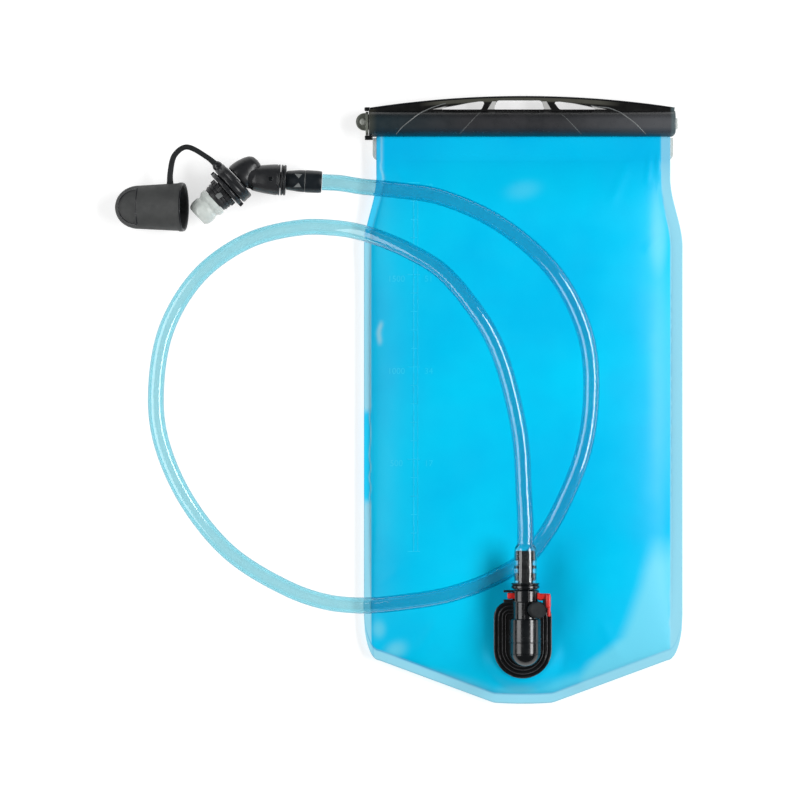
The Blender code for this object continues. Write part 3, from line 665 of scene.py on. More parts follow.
# Creases in the front film in millimetres: start, end, width and height
CREASES = [
    ((79.0, 150.0), (80.5, 112.0), 1.1, 0.55),
    ((75.5, 147.0), (73.0, 122.0), 1.6, 0.35),
    ((-82.0, 148.0), (-80.5, 124.0), 1.0, 0.40),
    ((64.0, 140.0), (50.0, 108.0), 3.0, 0.35),
    ((-74.0, 140.0), (-60.0, 112.0), 3.0, 0.30),
    ((83.0, 96.0), (70.0, 84.0), 2.4, 0.30),
    ((-86.0, -108.0), (-66.0, -96.0), 2.6, 0.30),
    ((-62.0, -150.0), (-44.0, -122.0), 3.2, 0.35),
    ((60.0, -152.0), (44.0, -124.0), 3.2, 0.35),
    ((-18.0, -158.0), (-40.0, -166.0), 2.4, 0.25),
    ((22.0, -160.0), (44.0, -166.0), 2.4, 0.25),
]
SCALE_STEPS = 20
# Pale patches in millimetres: centre, half size, tilt and strength. Most are where the two films cling
# together; the one below the mouth at (2, 120.5) and the group low on the left around (-71.5, -144) are
# painted highlights on the filled film's bulge.
CLING_AND_HIGHLIGHT_PATCHES = [
    ((82.0, 10.0), (7.0, 70.0), 0.0, 0.35),
    ((80.0, 96.0), (5.0, 26.0), 0.0, 0.55),
    ((-71.5, -144.0), (6.5, 4.6), 28.0, 0.55),
    ((-81.0, -132.0), (3.6, 5.0), 0.0, 0.50),
    ((-66.5, -152.5), (4.0, 2.4), -30.0, 0.45),
    ((2.0, 120.5), (9.0, 5.0), 12.0, 0.22),
    ((30.0, -163.0), (26.0, 5.0), 16.0, 0.40),
    ((-34.0, -163.0), (24.0, 4.0), -16.0, 0.30),
    ((0.0, -168.0), (16.0, 3.5), 0.0, 0.45),
]
# The left edge of the painted highlight over the lower right corner, in millimetres from the bottom up
HIGHLIGHT_EDGE_Y = (-160.0, -150.0, -144.3, -136.3, -125.9, -107.5, -92.0, -60.0)
HIGHLIGHT_EDGE_X = (30.0, 38.0, 46.1, 55.3, 59.3, 65.7, 69.7, 78.0)
# Painted highlights: bright lines beside the welds, in millimetres: start, end and half width
HIGHLIGHT_LINES = [
    ((-80.6, 149.0), (-78.6, 121.0), 0.7),
    ((81.4, 150.0), (83.6, 104.0), 0.8),
    ((87.3, -104.0), (86.8, -141.0), 0.7),
    ((-86.0, 20.0), (-86.2, -80.0), 0.4),
    ((-80.0, 47.0), (-81.0, 30.0), 1.3),
]


def crease_height(x, y):
    total = np.zeros_like(x)
    for start, end, width, height in CREASES:
        line = ridge(x, y, np.multiply(start, MM), np.multiply(end, MM), width * MM)
        total = total + height * MM * line
    return total


def pucker(x, y):
    """Small gathers square to the welds, which die out a few millimetres inside them."""
    from_side, from_bottom = inside_welds(x, y)
    side = np.exp(-((from_side / (5 * MM)) ** 2)) * (from_side > 0)
    low = np.exp(-((from_bottom / (5 * MM)) ** 2)) * (from_bottom > 0)
    waves = np.sin(y / (1.35 * MM) + 1.8 * np.sin(y / (7.3 * MM)))
    low_waves = np.sin(x / (1.5 * MM) + 1.6 * np.sin(x / (6.1 * MM)))
    return 0.06 * MM * (side * waves + low * low_waves)


def undulation(x, y):
    """Broad gentle unevenness of a slack film."""
    waves = np.sin(x / (13 * MM) + 1.1 * np.sin(y / (23 * MM))) * np.sin(y / (19 * MM) + 0.7)
    return 0.28 * MM * waves * ease(filled(x, y) * 1.5) * ease(from_flange(x, y) / (20 * MM))


def film_top(x, y):
    """Height of the front film's outer face."""
    x, y = np.asarray(x, float), np.asarray(y, float)
    crossing = np.exp(-(((x - 3 * MM) / (60 * MM)) ** 2) - ((y + 92 * MM) / (40 * MM)) ** 2)
    detail = (crease_height(x, y) + undulation(x, y)) * (1.0 - crossing) + pucker(x, y)
    return front_z(x, y) + detail + FILM / 2


def film_marks(x, y):
    """How much each point of the film is welded (with painted highlight lines beside the welds), pale (partly
    where the films cling, partly painted highlight) and darkened by painted shade in its creases.
    """
    from_side, from_bottom = inside_welds(x, y)
    inner = np.minimum(from_side + 1.7 * MM * ease((y - 100 * MM) / (22 * MM)) * (x > 0), from_bottom)
    weld = 1.0 - ease((inner + 0.3 * MM) / (0.7 * MM))
    weld = weld * (1.0 - 0.85 * ease((y - 88 * MM) / (10 * MM)) * (x < 0))
    bare = ease((-y - 4 * MM) / (5 * MM)) * ease((y + 61 * MM) / (5 * MM)) * (x < 0)
    weld = weld * (1.0 - 0.95 * bare)
    # Painted shade: darker lines along the inside of the bottom weld and of the left weld, and a darker band
    # below the mouth's fold.
    lower = ease((-y - 124 * MM) / (12 * MM))
    crease_shade = 0.75 * np.exp(-(((from_bottom + 0.2 * MM) / (0.55 * MM)) ** 2)) * lower
    crease_shade = crease_shade + 0.3 * np.exp(-(((from_side - 0.9 * MM) / (0.45 * MM)) ** 2)) * (x < 0)
    edge = np.interp(y, np.multiply(HIGHLIGHT_EDGE_Y, MM), np.multiply(HIGHLIGHT_EDGE_X, MM))
    fold_shade = 0.34 * np.exp(-np.maximum(MOUTH_Y - y, 0.0) / (9 * MM)) * (y < MOUTH_Y + 0.1 * MM)
    crease_shade = np.maximum(crease_shade, fold_shade)
    # Painted highlight: the filled film's lower right corner is paled.
    cling_and_highlight = 0.72 * ease((x - edge + 2 * MM) / (11 * MM)) * ease((-y - 72 * MM) / (26 * MM))
    for (cx, cy), (half_x, half_y), tilt, strength in CLING_AND_HIGHLIGHT_PATCHES:
        turn = math.radians(tilt)
        dx, dy = x - cx * MM, y - cy * MM
        along = (dx * math.cos(turn) + dy * math.sin(turn)) / (half_x * MM)
        across = (-dx * math.sin(turn) + dy * math.cos(turn)) / (half_y * MM)
        cling_and_highlight = np.maximum(cling_and_highlight, strength * np.exp(-((along**2 + across**2) ** 1.4)))
    # Painted highlight lines, painted pale into the weld share.
    for start, end, width in HIGHLIGHT_LINES:
        sway = 0.45 * MM * np.sin(y / (2.6 * MM) + 1.2 * np.sin(y / (7 * MM)))
        weld = np.maximum(
            weld,
            0.9 * ridge(x + sway, y, np.multiply(start, MM), np.multiply(end, MM), width * MM),
        )
    return weld, np.clip(cling_and_highlight, 0.0, 1.0) * (1.0 - 0.3 * weld), np.clip(crease_shade, 0.0, 1.0) * (1.0 - cling_and_highlight)


def mouth_wrap(radius, start, count=18):
    """The film's folded mouth inside the bar: under the closing rod, round it and over its front."""
    angles = np.radians(np.linspace(start, 290.0, count))
    return [(BAR_Y - radius * math.cos(a), BAR_Z - radius * math.sin(a)) for a in angles]


def film_sheet(name, height, wrap, columns=150, rows=250):
    form = bmesh.new()
    layers = {key: form.verts.layers.float.new(key) for key in ("weld", "cling_and_highlight", "crease_shade")}
    across = 0.6 * np.sin(
        np.pi / 2 * np.linspace(-1, 1, columns + 1),
    ) + 0.4 * np.linspace(-1, 1, columns + 1)
    shares = np.linspace(0.0, 1.0, rows + 1)
    shares = 0.6 * shares + 0.4 * (0.5 - 0.5 * np.cos(np.pi * shares))
    low = bottom_y(across)
    y = low[None, :] + shares[:, None] * (MOUTH_Y - low[None, :])
    x = BAG_X + across[None, :] * half_width(y)
    z = height(x, y)
    marks = dict(zip(("weld", "cling_and_highlight", "crease_shade"), film_marks(x, y)))
    grid = []
    for i in range(rows + 1):
        line = []
        for j in range(columns + 1):
            vert = form.verts.new((x[i, j], y[i, j], z[i, j]))
            for key, layer in layers.items():
                vert[layer] = float(marks[key][i, j])
            line.append(vert)
        grid.append(line)
    for wrap_y, wrap_z in wrap:
        line = []
        for j, u in enumerate(across):
            vert = form.verts.new((BAG_X + u * MOUTH_HALF_WIDTH, wrap_y, wrap_z))
            for key, layer in layers.items():
                vert[layer] = float(marks[key][-1, j])
            line.append(vert)
        grid.append(line)
    for lower, upper in zip(grid, grid[1:]):
        for j in range(columns):
            form.faces.new((lower[j], lower[j + 1], upper[j + 1], upper[j]))
    piece = smooth(new_piece(name, form), 60.0)
    thick = piece.modifiers.new("Film thickness", "SOLIDIFY")
    thick.thickness = FILM
    thick.offset = 0.0
    return piece


def build_scale():
    """The volume scale welded into the film: a thin line with ticks and numbers down its left side."""
    top, bottom = 125.0 * MM, -87.0 * MM
    line_x = -61.0 * MM
    strokes = []

    def stroke(points, width=0.22 * MM):
        x, y = np.array(points).T
        path = np.column_stack([x, y, film_top(x, y) + 0.02 * MM])
        strokes.append(bead("scale_line", path, [width] * len(path), 6))

    ys = np.linspace(bottom, top, 90)
    stroke([(line_x, y) for y in ys])
    stroke([(line_x + 2.3 * MM, y) for y in ys], 0.14 * MM)
    for i in range(SCALE_STEPS + 1):
        y = bottom + (top - bottom) * i / SCALE_STEPS
        reach = (3.6 if i % 5 == 0 else 1.8) * MM
        stroke([(line_x + t, y) for t in np.linspace(-reach, reach, 4)])
    numbers = []
    for i in range(1, 5):
        y = bottom + (top - bottom) * i / 4 - 4.0 * MM
        for text, x in ((str(i * 500), line_x - 10.0 * MM), (str(round(i * 16.9)), line_x + 8.6 * MM)):
            numbers.append(film_number(text, x, y, 5.0 * MM))
    scale = merge(*strokes, *numbers)
    scale.name = "volume_scale"
    finish_piece(scale, "mark", "bag")


def film_number(text, x, y, size):
    """A number that lies on the film, centred on x."""
    curve = bpy.data.curves.new("number", "FONT")
    curve.body = text
    curve.size = size
    curve.extrude = 0.12 * MM
    curve.align_x = "CENTER"
    made = bpy.data.objects.new("number", curve)
    bpy.context.scene.collection.objects.link(made)
    bpy.context.view_layer.update()
    mesh = bpy.data.meshes.new_from_object(made.evaluated_get(bpy.context.evaluated_depsgraph_get()))
    bpy.data.objects.remove(made)
    places = np.empty(len(mesh.vertices) * 3)
    mesh.vertices.foreach_get("co", places)
    places = places.reshape(-1, 3) + (x, y, 0.0)
    places[:, 2] += film_top(places[:, 0], places[:, 1])
    mesh.vertices.foreach_set("co", places.ravel())
    piece = bpy.data.objects.new("number", mesh)
    bpy.context.scene.collection.objects.link(piece)
    return piece


def build_bag():
    pinch_front = BAR_Z + (FILM + FILM_GAP) / 2
    pinch_back = BAR_Z - (FILM + FILM_GAP) / 2
    lead_in = [141.5 * MM, 145.0 * MM, 148.0 * MM, 151.4 * MM, 153.6 * MM]
    front = film_sheet(
        "bag_front_film",
        lambda x, y: film_top(x, y) - FILM / 2,
        [(y, pinch_front) for y in lead_in] + mouth_wrap(4.15 * MM, 50.0),
    )
    finish_piece(front, "film", "bag", ["front_film"])
    back = film_sheet(
        "bag_back_film",
        back_z,
        [(y, pinch_back) for y in lead_in] + mouth_wrap(4.95 * MM, 40.0),
    )
    finish_piece(back, "film", "bag", ["back_film"])
    build_scale()


# ---------------------------------------------------------------- the drink tube


def build_tube():
    """A thick-walled clear tube, stretched where it is pushed over the coupling's barbs."""
    path = smooth_path([[c * MM for c in point] for point in TUBE_ROUTE], 620)
    length = np.concatenate([[0.0], np.cumsum(np.linalg.norm(np.diff(path, axis=0), axis=1))])
    on_barb = 1.0 - ease((length - 18.9 * MM) / (4.5 * MM))
    outer = TUBE_R + 1.75 * MM * on_barb
    wall = TUBE_R - TUBE_BORE_R - 1.55 * MM * on_barb
    form = bmesh.new()
    outside = swept_rings(form, path, outer, 40)
    inside = swept_rings(form, path, outer - wall, 32)
    skin(form, outside)
    skin(form, [ring[::-1] for ring in inside])
    for first, second in ((outside[0], inside[0]), (outside[-1], inside[-1])):
        edges = []
        for ring in (first, second):
            for j in range(len(ring)):
                edges.append(form.edges.get((ring[j], ring[(j + 1) % len(ring)])))
        bmesh.ops.bridge_loops(form, edges=edges)
    bmesh.ops.recalc_face_normals(form, faces=form.faces)
    tube = smooth(new_piece("tube", form), 60.0)
    finish_piece(tube, "tube", "hose", ["drink_tube"])
    tube.visible_shadow = False
    tube.visible_diffuse = False
    return tube, path


# ---------------------------------------------------------------- the closing bar


def bar_surface(y):
    """Height of the bar's and the handle's upper face."""
    reach = max(BAR_R**2 - (y - BAR_Y) ** 2, 0.0)
    top = BAR_Z + math.sqrt(reach) if reach > 0 else 0.0
    return max(top, HANDLE_Z[1] if y > BAR_Y else 0.0)


def bar_ends(y):
    """The bar's two ends at that height up its face; its lower right corner is rounded."""
    low = max(BAR_Y - 4.6 * MM - y, 0.0) / (3.1 * MM)
    corner = 3.0 * MM * (1.0 - math.sqrt(max(1.0 - min(low, 1.0) ** 2, 0.0)))
    return BAR_X[0], BAR_X[1] + 0.5 * MM - corner


def build_channel():
    """The C channel that grips the rolled mouth, open towards the bag."""
    lip = 0.35 * MM
    outer_gap = math.degrees(math.asin((SLOT_HALF + lip) / BAR_R))
    inner_gap = math.degrees(math.asin((SLOT_HALF + lip) / BAR_BORE_R))
    ring = arc((0, 0), BAR_R, -180 + outer_gap, 180 - outer_gap, 73)
    ring += [(-BAR_R + lip, SLOT_HALF), (-BAR_BORE_R - lip, SLOT_HALF)]
    ring += arc((0, 0), BAR_BORE_R, 180 - inner_gap, -180 + inner_gap, 61)
    ring += [(-BAR_BORE_R - lip, -SLOT_HALF), (-BAR_R + lip, -SLOT_HALF)]
    form = bmesh.new()
    rings = []
    ease_in = [(0.0, 0.6), (0.12, 0.25), (0.35, 0.08), (0.7, 0.0)]
    ends = [(0, mm, shrink) for mm, shrink in ease_in] + [(1, mm, shrink) for mm, shrink in ease_in[::-1]]
    for side, inset, shrink in ends:
        row = []
        for across, up in ring:
            r = math.hypot(across, up)
            middle = (BAR_R + BAR_BORE_R) / 2
            squeeze = 1.0 - (r - middle) / r * shrink
            y = BAR_Y + across * squeeze
            low, high = bar_ends(y)
            x = high - inset * MM if side else low + inset * MM
            row.append(form.verts.new((x, y, BAR_Z + up * squeeze)))
        rings.append(row)
    skin(form, rings, close_ends=True)
    bmesh.ops.recalc_face_normals(form, faces=form.faces)
    return smooth(new_piece("bar_channel", form), 40.0)


def handle_top(x):
    return 175.0 * MM - 7.0 * MM * ((x - 2.0 * MM) / (90.0 * MM)) ** 2


def in_metres(points):
    return [tuple(c * MM for c in point) for point in points]


HANDLE_WINDOWS = [
    [
        (-45.2, 167.2), (-44.2, 168.3), (-38.0, 169.3), (-30.0, 170.9), (-23.4, 171.9),
        (-21.0, 171.9), (-20.4, 171.0), (-22.0, 167.2),
    ],
    [(-14.9, 167.2), (-13.4, 171.6), (-12.2, 172.5), (11.8, 172.5), (13.0, 171.6), (14.3, 167.2)],
    [
        (22.9, 167.2), (20.1, 170.8), (20.6, 171.7), (23.0, 171.8), (31.0, 170.8), (39.0, 169.2),
        (43.4, 168.2), (43.8, 167.2),
    ],
]
BAR_ARCS = [
    [
        (-42.5, 170.7), (-44.9, 170.1), (-51.1, 168.0), (-57.3, 164.9), (-63.6, 160.1),
        (-68.0, 156.4), (-71.1, 152.9),
    ],
    [
        (41.0, 169.6), (43.1, 168.9), (51.2, 168.0), (56.2, 166.1), (60.6, 163.3), (66.2, 158.9),
        (70.6, 154.6), (72.4, 153.0),
    ],
    [(-22.4, 165.8), (-27.0, 161.2), (-31.0, 156.8), (-34.6, 153.0)],
    [(23.8, 164.5), (28.0, 160.4), (32.0, 156.2), (35.4, 152.8)],
]


def build_bar():
    xs = np.linspace(-89.2 * MM, BAR_X[1] + 0.2 * MM, 61)
    top = [(float(x), handle_top(x)) for x in xs]
    foot, lip = BAR_Y + 5.6 * MM, BAR_Y + 7.5 * MM
    left = BAR_X[0] + 0.3 * MM
    outline = top[::-1] + [(-89.2 * MM, lip), (left, lip), (left, foot), (BAR_X[1] - 0.4 * MM, foot)]
    windows = [rounded(in_metres(loop), 0.9 * MM, closed=True) for loop in HANDLE_WINDOWS]
    place = Matrix.Translation((0.0, 0.0, sum(HANDLE_Z) / 2))
    web = plate("bar_web", outline, HANDLE_Z[1] - HANDLE_Z[0], place, [w[::-1] for w in windows], 0.35 * MM)
    rim = [(x, handle_top(x) - 0.55 * MM, HANDLE_Z[1] - 0.1 * MM) for x in xs[1:-1]]
    finish_piece(bead("bar_rim", rim, [0.5 * MM] * len(rim), 12), "gloss", "bar")
    lug = block("bar_lug", (-89.2, 149.5, 9.0), (-84.6, 152.1, 12.4), 0.5)
    lug_root = block("bar_lug_root", (-86.9, 151.0, 8.4), (-84.6, 153.4, 12.2), 0.5)
    upper_lip = block("bar_end_lip", (-89.4, 166.2, 9.0), (-86.0, 168.4, 12.2), 0.6)
    lips = merge(lug, lug_root, upper_lip)
    lips.name = "bar_end_lips"
    finish_piece(lips, "gloss", "bar")
    bar = merge(build_channel(), web)
    bar.name = "closing_bar"
    finish_piece(bar, "bar", "bar", ["slide_bar"])

    # The raised lines on the bar are coloured pale grey as a painted highlight.
    lines = []
    for i, points in enumerate(BAR_ARCS):
        flat = smooth_path([(x * MM, y * MM, 0.0) for x, y in points], 44)
        path = [(x, y, bar_surface(y) - 0.05 * MM) for x, y, _ in flat]
        thick = (0.34 if i < 2 else 0.12) * MM
        radii = [
            thick * (0.35 + 0.65 * math.sin(math.pi * (k + 0.5) / len(path)) ** 0.4)
            for k in range(len(path))
        ]
        lines.append(bead(f"bar_arc_{i}", path, radii, 10))
    arcs = merge(*lines)
    arcs.name = "bar_raised_lines"
    finish_piece(arcs, "pale_mark_and_highlight", "bar")

    # Pale grey plates on the handle's top, beside the windows, for the struts' inner faces.
    faces = []
    for i, loop in enumerate([
        [(-18.6, 167.2), (-14.7, 167.2), (-13.6, 171.8), (-15.8, 171.8)],
        [(14.1, 167.2), (18.0, 167.2), (15.4, 171.8), (12.9, 171.8)],
        [(-50.5, 167.2), (-44.9, 167.2), (-43.4, 168.4), (-41.5, 169.3)],
        [(43.6, 167.2), (50.2, 167.2), (42.0, 168.9), (41.0, 169.0)],
    ]):
        level = Matrix.Translation((0.0, 0.0, HANDLE_Z[1] + 0.05 * MM))
        faces.append(plate(f"strut_face_{i}", in_metres(loop), 0.8 * MM, level, edge=0.15 * MM))
    struts = merge(*faces)
    struts.name = "bar_strut_faces"
    finish_piece(struts, "strut", "bar")


def build_rod():
    """The clear rod that the mouth is rolled on, with its end stop and round eye."""
    length = 90.9 + 86.8
    start = (BAR_X[0], BAR_Y, BAR_Z)
    profile = [(0.0, length), (3.3, length), (3.3, 0.0), (0.0, 0.0)]
    along = frame_along((1.0, 0.0, 0.0), start)
    finish_piece(lathe("rod", profile, along, 0.6), "clear", "bag", ["closing_rod"])
    disc = lathe(
        "end_stop", [(0.0, -0.3), (6.9, -0.3), (6.9, -1.9), (0.0, -1.9)], along, 0.3
    )
    eye = (-89.3 * MM, 160.1 * MM, BAR_Z)
    up = frame_along((0.0, 0.0, 1.0), eye)
    ear = lathe("eye", [(0.0, 2.3), (3.9, 2.3), (4.2, 2.6), (5.0, 2.6), (5.0, -2.4), (0.0, -2.4)], up, 0.3)
    shift = Matrix.Translation((-1.0 * MM, 0.0, 0.0))
    boss = lathe("eye_boss", [(0.0, 3.3), (1.2, 3.3), (1.9, 2.8), (1.9, 0.0), (0.0, 0.0)], shift @ up, 0.3)
    finish_piece(boss, "clear_cap", "bag")
    stop = merge(disc, ear)
    stop.name = "rod_stop"
    finish_piece(stop, "eye", "bag", ["rod_end_stop"])

    low, high, radius = (-84.7, 138.0), (88.5, 151.0), 3.5
    outline = (
        [(low[0], high[1])]
        + arc((low[0] + radius, low[1] + radius), radius, 180, 270, 12)
        + arc((high[0] - radius, low[1] + radius), radius, 270, 360, 12)
        + [(high[0], high[1])]
    )
    level = Matrix.Translation((0.0, 0.0, BAR_Z - FILM_GAP / 2 - FILM - 0.3 * MM - 0.6 * MM))
    strip = plate("mouth_strip", in_metres(outline), 1.2 * MM, level, edge=0.3 * MM)
    finish_piece(strip, "clear", "bag", ["mouth_stiffener"])


# ---------------------------------------------------------------- the outlet port


def flange_oval(inset):
    half = FLANGE_SIZE[0] / 2
    corner = 9.0 * MM
    low = FLANGE_TOP_Y - FLANGE_SIZE[1] + half
    inner, turn = half - inset, max(corner - inset, 1.0 * MM)
    shift = half - corner if inset < corner - 1.0 * MM else inner - turn
    return (
        arc((FLANGE_X, low), inner, 180, 360, 49)
        + arc((FLANGE_X + shift, FLANGE_TOP_Y - inset - turn), turn, 0, 90, 13)
        + arc((FLANGE_X - shift, FLANGE_TOP_Y - inset - turn), turn, 90, 180, 13)
    )


def port_block(name, low, high, radius):
    """A rounded block whose x and z are measured from the coupling's axis."""
    return block(name, low, high, radius, Matrix.Translation((AXIS_X, 0.0, AXIS_Z)))


# The housing's round socket, in millimetres: its radius in the bullet and in the head, and its two ends
SOCKET_R = (4.9, 4.85)
SOCKET_Y = (-149.2, -107.0)
# The fork's round slot: its radius, and how far it is stretched so that the pressed latch clears the spigot
FORK_SLOT_R = 4.6
FORK_SLOT_STRETCH = 2.1


def carve(piece, *cutters):
    """Cuts closed forms out of a closed piece."""
    for cutter in cutters:
        cutting = piece.modifiers.new("Cut", "BOOLEAN")
        cutting.operation = "DIFFERENCE"
        cutting.solver = "EXACT"
        cutting.object = cutter
    bpy.context.view_layer.update()
    graph = bpy.context.evaluated_depsgraph_get()
    mesh = bpy.data.meshes.new_from_object(piece.evaluated_get(graph))
    piece.modifiers.clear()
    piece.data = mesh
    return smooth(piece, 30.0)


def build_port():
    floor_z = FLANGE_Z

    def level(low, high, outer, inner=None):
        place = Matrix.Translation((0.0, 0.0, floor_z + (low + high) / 2 * MM))
        holes = [flange_oval(inner * MM)[::-1]] if inner is not None else ()
        return plate("flange_level", flange_oval(outer * MM), (high - low) * MM, place, holes, 0.32 * MM)

    flange = merge(
        level(0.0, 1.3, 0.0),
        level(0.6, 2.1, 0.3, 1.7),
        level(0.6, 2.5, 2.7, 3.9),
        level(0.6, 2.9, 4.8, 5.8),
        level(0.6, 2.3, 6.6, 7.4),
    )
    flange.name = "flange"
    finish_piece(flange, "gloss", "bag", ["port_flange"])
    # Raised lines round the flange, coloured grey as a painted highlight.
    lines = []
    for inset, rise in ((2.6, 2.35), (4.9, 2.85), (6.8, 2.3)):
        loop = flange_oval(inset * MM)
        path = [(x, y, floor_z + rise * MM) for x, y in loop + loop[:1]]
        lines.append(bead("flange_line", path, [0.19 * MM] * len(path), 8))
    lines = merge(*lines)
    lines.name = "flange_lines"
    finish_piece(lines, "ridge", "bag")

    along = frame_along((0.0, 1.0, 0.0), (AXIS_X, 0.0, AXIS_Z))
    groove = [(8.5, -138.35), (8.2, -138.45), (8.2, -138.75), (8.5, -138.85)]
    second = [(8.48, -144.9), (8.12, -145.0), (8.1, -145.3), (8.38, -145.4)]
    nose = [
        (8.5 * math.cos(a), -143.9 - 8.5 * math.sin(a)) for a in np.radians(np.linspace(14, 90, 16))
    ]
    nose[-1] = (0.0, nose[-1][1])
    bullet = lathe(
        "bullet",
        [
            (0.0, SOCKET_Y[0]), (SOCKET_R[0], SOCKET_Y[0]), (SOCKET_R[0], -125.0), (6.6, -125.0),
            (8.1, -125.1), (8.5, -125.6),
        ] + groove + second + nose,
        along,
        0.12,
        128,
    )
    neck = lathe(
        "neck", [
            (4.8, -108.8), (6.6, -108.8), (7.0, -109.2), (7.0, -125.6), (4.8, -125.6),
        ], along, 0.3, closed=True
    )
    head = lathe(
        "head", [
            (4.8, -108.6), (7.3, -108.6), (7.8, -109.2), (7.8, -115.1), (7.4, -115.7),
            (4.8, -115.7),
        ], along, 0.3,
        closed=True,
    )
    base = port_block("head_base", (-7.2, -115.7, -8.2), (7.2, -108.6, 0.5), 0.8)
    split = port_block("head_split", (1.3, -115.5, 5.0), (1.8, -108.5, 8.15), 0.15)
    seam_rib = port_block("seam_rib", (-1.0, -125.2, 4.0), (-0.4, -115.0, 7.2), 0.15)
    upper = port_block("upper_fin", (-12.6, -109.9, -3.0), (-5.5, -108.6, 3.0), 0.4)
    lower = port_block("lower_fin", (-12.6, -115.6, -3.0), (-5.5, -114.0, 3.0), 0.4)
    saddle = port_block("saddle", (-4.5, -147.0, -10.6), (4.5, -122.0, -6.4), 1.0)
    pipe = lathe(
        "pipe",
        [(0.0, 0.0), (3.9, 0.0), (3.9, 8.0), (0.0, 8.0)],
        Matrix.Translation((AXIS_X, -140.0 * MM, 13.2 * MM)),
    )
    shell = [(9.2, -125.9), (9.2, -143.5)]
    shell += [(9.2 * math.cos(a), -143.9 - 9.0 * math.sin(a)) for a in np.radians(np.linspace(6, 70, 9))]
    shell += [(8.0 * math.cos(a), -143.9 - 8.0 * math.sin(a)) for a in np.radians(np.linspace(70, 6, 9))]
    shell += [(8.2, -143.5), (8.2, -125.9)]
    cradle = lathe("cradle", shell, Matrix.Translation((0.0, 0.0, -4.6 * MM)) @ along, 0.2, 96, closed=True)
    # The spigot's bore, and the pocket that the latch slides in
    low, high = SOCKET_Y
    bore = lathe("bore", [(0.0, low), (SOCKET_R[1], low), (SOCKET_R[1], high), (0.0, high)], along, 0.05)
    pocket = port_block("pocket", (-9.6, -114.9, -6.5), (9.6, -109.95, 4.7), 0.05)
    for piece, cutters in ((neck, [pocket]), (head, [pocket]), (base, [bore, pocket]), (cradle, [bore])):
        carve(piece, *cutters)
    for cutter in (bore, pocket):
        bpy.data.objects.remove(cutter)
    housing = merge(bullet, neck, head, base, split, seam_rib, upper, lower, saddle, pipe, cradle)
    housing.name = "housing"
    finish_piece(housing, "gloss", "bag", ["port_housing"])

    # The yoke is a fork, open at the top, that straddles the spigot
    fork = [(-6.4, 4.4), (-6.4, -6.2), (8.4, -6.2), (8.4, 4.4), (FORK_SLOT_STRETCH + FORK_SLOT_R, 4.4)]
    fork += arc((FORK_SLOT_STRETCH, 0.0), FORK_SLOT_R, 0, -90, 12)
    fork += arc((0.0, 0.0), FORK_SLOT_R, -90, -180, 12) + [(-FORK_SLOT_R, 4.4)]
    upright = Matrix(((1, 0, 0, AXIS_X), (0, 0, -1, -111.95 * MM), (0, 1, 0, AXIS_Z), (0, 0, 0, 1)))
    yoke = plate("yoke", in_metres(fork), 3.3 * MM, upright, edge=0.25 * MM)
    tongue = port_block("tongue", (-10.3, -113.6, -2.8), (-5.0, -110.2, 2.8), 0.6)
    bar = port_block("latch_bar", (6.8, -114.6, -2.8), (14.3, -110.6, 3.4), 1.3)
    tab = port_block("latch_tab", (11.4, -119.0, 1.7), (14.4, -110.8, 5.0), 1.2)
    foot = port_block("latch_foot", (12.9, -119.0, -1.4), (14.3, -110.8, 3.0), 0.5)
    tip = port_block("latch_tip", (12.4, -123.8, -1.0), (14.3, -115.0, 4.6), 0.8)
    latch = merge(yoke, tongue, bar, tab, foot, tip)
    latch.name = "latch"
    finish_piece(latch, "red", "latch", ["latch_yoke"])

    lean = math.radians(40.0)
    outward = Vector((math.sin(lean), 0.0, math.cos(lean)))
    centre = Vector((AXIS_X, -119.9 * MM, AXIS_Z)) + Vector((6.6 * MM, 0.0, 7.6 * MM))
    across = Vector((math.cos(lean), -0.14, -math.sin(lean))).normalized()
    side = outward.cross(across)
    place = Matrix.Translation(centre) @ Matrix((across, side, outward)).transposed().to_4x4()
    dome = [(0.0, 1.25), (3.4, 1.2), (5.4, 0.95), (6.2, 0.3), (6.3, -0.5), (6.0, -1.1), (0.0, -1.2)]
    pad = lathe("pad", dome, place @ Matrix.Diagonal((1.08, 0.74, 1.0, 1.0)), 0.5)
    pad = merge(pad, port_block("pad_web", (9.9, -119.8, 1.7), (13.0, -113.6, 4.2), 0.6))
    finish_piece(pad, "pad", "latch", ["thumb_pad"])

    barbs = [
        (5.0, -85.9), (6.0, -86.2), (6.4, -91.2), (6.4, -91.7), (4.3, -91.9), (4.3, -94.5),
        (6.4, -94.7),
    ]
    barbs += [(6.4, -96.3), (4.3, -96.5), (4.3, -98.9), (6.4, -99.1), (6.0, -103.2), (4.3, -103.4)]
    barbs += [(4.3, -104.5), (7.9, -104.6), (8.2, -105.2), (7.2, -105.8), (8.05, -106.2), (8.05, -107.6)]
    barbs += [
        (7.0, -107.8), (7.0, -108.3), (4.2, -108.4), (4.2, -120.4), (3.6, -121.0), (2.2, -121.0),
        (2.2, -86.0),
    ]
    coupling = lathe("coupling", barbs, along, 0.22, 96, closed=True)
    finish_piece(coupling, "gloss", "hose", ["hose_coupling"])


# ---------------------------------------------------------------- the mouthpiece


HOSE_WAY = Vector((-math.cos(HOSE_END_ANGLE), math.sin(HOSE_END_ANGLE), 0.0))
VALVE_WAY = Vector((-math.cos(VALVE_ANGLE), -math.sin(VALVE_ANGLE), 0.0))
VALVE_SIDE = Vector((-math.sin(VALVE_ANGLE), math.cos(VALVE_ANGLE), 0.0))


def along_hose():
    """Z runs from the hose's end along the sleeve, X points up."""
    up = Vector((0.0, 0.0, 1.0))
    turn = Matrix((up, HOSE_WAY.cross(up), HOSE_WAY)).transposed().to_4x4()
    return Matrix.Translation(Vector((*HOSE_END, PIECE_Z))) @ turn


